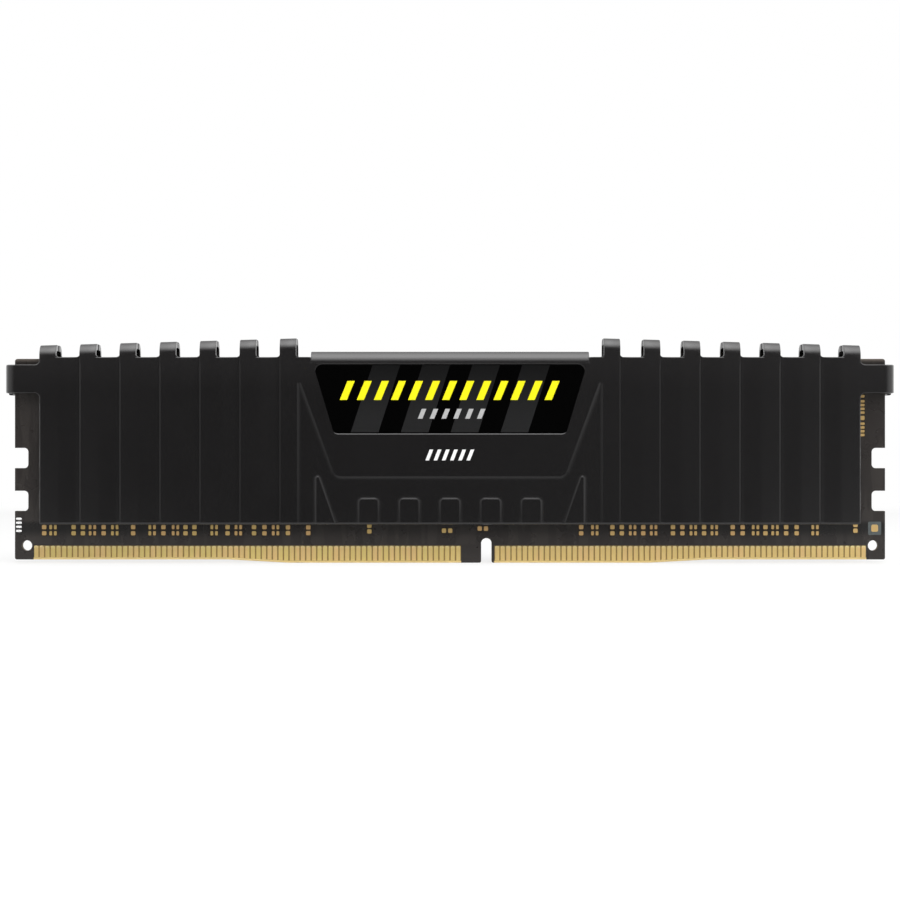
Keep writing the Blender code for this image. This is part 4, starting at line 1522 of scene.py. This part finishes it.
@dataclass
class Studio:
    """Pale floor, soft lights and the camera."""

    target: Point = (0.0, 0.0, 17.28 * MM)
    distance: float = 410.0 * MM
    pixels_per_metre: float = 6513.5
    image: int = 900
    sensor: float = 36.0
    clip: Pair = (0.01, 50.0)
    ambient: float = 0.17
    glow: float = 7.8
    side_glow: float = 0.9
    floor_half: float = 8.0
    floor_colour: Colour = (0.95, 0.95, 0.95)
    floor_mirror: float = 1.1
    module_half: float = 0.03

    def build_camera(self) -> None:
        """The camera, level with the module's middle."""
        data = bpy.data.cameras.new("camera")
        data.sensor_width = self.sensor
        data.lens = self.sensor * self.pixels_per_metre * self.distance / self.image
        data.clip_start, data.clip_end = self.clip
        camera = bpy.data.objects.new("camera", data)
        bpy.context.scene.collection.objects.link(camera)
        ahead = Vector((0.0, 1.0, 0.0))
        look = ahead.to_track_quat("-Z", "Y").to_matrix().to_4x4()
        camera.matrix_world = Matrix.Translation(Vector(self.target) - ahead * self.distance) @ look
        bpy.context.scene.camera = camera

    def build_light(self, name: str, place_at: Point, size: Pair, radiance: float) -> None:
        """A softbox that faces the module and leaves mirrored light to the backdrop.

        Args:
            name: its name.
            place_at: its middle.
            size: its width and height.
            radiance: brightness of its face, where 1 is white.
        """
        data = bpy.data.lights.new(name, "AREA")
        data.shape = "RECTANGLE"
        data.size, data.size_y = size
        data.energy = radiance * math.pi * size[0] * size[1]
        lamp = bpy.data.objects.new(name, data)
        bpy.context.scene.collection.objects.link(lamp)
        lamp.location = place_at
        lamp.visible_glossy = False
        lamp.rotation_mode = "QUATERNION"
        lamp.rotation_quaternion = (Vector(self.target) - Vector(place_at)).to_track_quat("-Z", "Y")

    @staticmethod
    def surroundings(x: Wire, y: Wire) -> Wire:
        """What polished faces see along the horizon: dim in front, paler at both sides and behind."""
        return 0.20 + abs(x).step(0.14, 1.0) * (1.12 + 0.25 * (x > 0.0)) + 0.35 * y.step(-0.3, 0.3)

    def build_world(self) -> None:
        """A white backdrop for the camera, with a feathered glow for polished faces, dimmer as light."""
        world = bpy.data.worlds.new("studio")
        world.use_nodes = True
        world.node_tree.nodes.clear()
        graph = Graph(world.node_tree)
        camera, mirrored = graph.rays()
        x, y, z = graph.node("ShaderNodeTexCoord", output="Generated").parts()
        fade = (1.0 - 0.85 * y.step(-0.45, 0.75)) * (1.0 - 0.25 * abs(x).step(0.03, 0.12))
        sides = self.side_glow * abs(x).step(0.35, 0.9) * z.step(0.08, 0.3)
        behind = (0.2 + 0.3 * x.step(-0.1, 0.1)) * y.step(0.3, 0.7) * (1.0 - z.step(0.08, 0.26))
        backdrop = self.surroundings(x, y) + sides + behind + self.glow * z.step(0.39, 1.0) * fade
        level = camera + (1.0 - camera) * (mirrored * backdrop + (1.0 - mirrored) * self.ambient)
        shade = graph.node("ShaderNodeBackground", {}, {"Color": (1.0, 1.0, 1.0, 1.0), "Strength": level})
        graph.node("ShaderNodeOutputWorld", {}, {"Surface": shade})
        bpy.context.scene.world = world

    def build_floor(self) -> None:
        """A pale floor that keeps a faint shadow, fades to the backdrop and mirrors brightest near by."""
        graph = SurfaceGraph("pale_floor")
        x, y, _ = graph.place.parts()
        beside = (x - self.module_half).at_least(0.0) + (x + self.module_half).at_most(0.0)
        reach, apart = (graph.maths("SQRT", across * across + y * y) for across in (x, beside))
        near = 1.0 - abs(y).step(0.01, 0.045)
        camera, mirrored = graph.rays()
        around = self.surroundings(beside / apart, y / apart) + 0.16 * x.step(-0.06, 0.25)
        level = camera + mirrored * (near * self.floor_mirror + (1.0 - near) * around)
        share = camera * reach.step(0.12, 0.45).at_least(0.72) + mirrored
        matt = graph.node("ShaderNodeBsdfDiffuse", {}, {"Color": (*self.floor_colour, 1.0)})
        white = graph.node("ShaderNodeEmission", {}, {"Color": (1.0, 1.0, 1.0, 1.0), "Strength": level})
        shade = graph.node("ShaderNodeMixShader", {}, {0: share, 1: matt, 2: white})
        graph.node("ShaderNodeOutputMaterial", {}, {"Surface": shade})
        mesh, far = bpy.data.meshes.new("floor"), self.floor_half
        corners = [(-far, -far, 0.0), (far, -far, 0.0), (far, far, 0.0), (-far, far, 0.0)]
        mesh.from_pydata(corners, [], [(0, 1, 2, 3)])
        mesh.materials.append(graph.material)
        floor = link("floor", mesh)

    def build(self) -> None:
        """Everything round the module."""
        bpy.context.scene.view_settings.view_transform = "Standard"
        self.build_camera()
        self.build_world()
        self.build_floor()
        self.build_light("key_softbox", (0.10, -0.50, 0.51), (0.50, 0.74), 3.9)
        self.build_light("top_softbox", (0.0, 0.11, 0.72), (0.60, 0.71), 2.07)
        self.build_light("left_softbox", (-0.58, -0.12, 0.20), (0.95, 0.42), 0.62)
        self.build_light("right_softbox", (0.58, -0.12, 0.20), (0.95, 0.42), 1.06)


def dress_nodes(nodes: dict[str, Piece], prefix: str, material: Material) -> None:
    """Give every CAD node whose name starts so a finish.

    Args:
        nodes: the frame's nodes.
        prefix: start of the names.
        material: the finish.
    """
    for name, node in nodes.items():
        if name.startswith(prefix):
            node.material_slots[0].material = material
            LOG.info("%s: dressed", name)


def named(nodes: dict[str, Piece], prefix: str) -> list[str]:
    """Names of the CAD nodes that are a prefix and a number."""
    return sorted(name for name in nodes if name.startswith(prefix) and name[len(prefix):].isdigit())


def main() -> None:
    """Build the looks of the module piece by piece."""
    logging.basicConfig(level=logging.INFO, format="%(name)s: %(message)s")
    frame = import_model()
    nodes = frame["nodes"]
    Studio().build()

    anodised = AnodisedFinish().make()
    spreader = HeatSpreader()
    place(spreader.build(Face.FRONT, anodised), "spreader", ["front_heat_spreader"])
    place(spreader.rear().build(Face.REAR, anodised), "spreader", ["rear_heat_spreader"])

    pad_gold = GoldFinish("pad_gold", (0.69, 0.50, 0.19), (0.73, 0.47, 0.21), (0.83, 0.64, 0.32)).make()
    white = coat("white_ink", (0.86, 0.86, 0.86))
    opening = coat("mask_opening", (0.039, 0.025, 0.0125), 0.525)
    resin = coat("window_resin", (0.082, 0.094, 0.094), 0.525)
    pads = [*(pad for lane in LANES for pad in lane.pads()), *ODD_PADS]
    board = CircuitBoard()
    place(board.build_slab(MaskFinish().make(), LaminateFinish().make()), "board", ["circuit_board"])
    place(board.build_contacts(GoldFinish().make()))
    place(board.build_pads("sight_window", SIGHT_WINDOW, board.window_rise, resin,
                           rounding=board.window_round))
    place(board.build_pads("pad_openings", pads, board.opening_rise, opening, board.opening_margin))
    place(board.build_pads("bare_pads", [*pads, *FIDUCIAL], board.pad_rise, pad_gold))
    place(board.build_pads("lot_marks", LOT_MARKS, board.mark_rise, white))

    badge = Badge()
    place(badge.build_plate(spreader.pocket_outline(), GlossFinish().make()), "badge", ["badge_plate"])
    smoke = coat("smoke_ink", (0.017, 0.017, 0.0174), 0.275, 0.06, (20.4 * MM, 34.0 * MM))
    yellow = coat("yellow_ink", (0.87, 0.82, 0.014), specular=0.06)
    grey = coat("grey_ink", (0.44, 0.44, 0.44))
    for row, ink in zip(badge.rows(spreader.raised), (smoke, yellow, grey, white)):
        place(row.build(ink))

    rear = RearParts()
    tin = MottledFinish("tin_plating", (0.62, 0.62, 0.60), (0.45, 0.45, 0.44), 8000.0, roughness=0.32,
                        metallic=1.0, depth=0.004 * MM).make()
    black = ceramic("resistor_ceramic", (0.035, 0.035, 0.038))
    resistors = rear.build("strip_resistors", rear.resistor_width, rear.resistor_places, black, tin)
    place(resistors, "resistor", named(nodes, "resistor_"))
    arrays = rear.build("strip_arrays", rear.array_width, rear.array_places, black, tin)
    place(arrays, "resistor", named(nodes, "resistor_array_"))

    moulding = MottledFinish("moulding_compound", (0.034, 0.034, 0.035), (0.020, 0.020, 0.021), 12000.0, 3.0,
                             0.52, specular=0.4, depth=0.006 * MM, strength=0.6).make()
    soft = MottledFinish("thermal_pad", (0.30, 0.31, 0.33), (0.22, 0.23, 0.25), 6000.0, 3.0, 0.8, 0.15,
                         depth=0.02 * MM, strength=0.6).make()
    tan = ceramic("capacitor_ceramic", (0.30, 0.20, 0.12))
    for prefix, material in (("dram_chip", moulding), ("spd_memory", moulding), ("bulk_capacitor", tan),
                             ("front_thermal_pad", soft), ("rear_thermal_pad", soft)):
        dress_nodes(nodes, prefix, material)


if __name__ == "__main__":
    main()
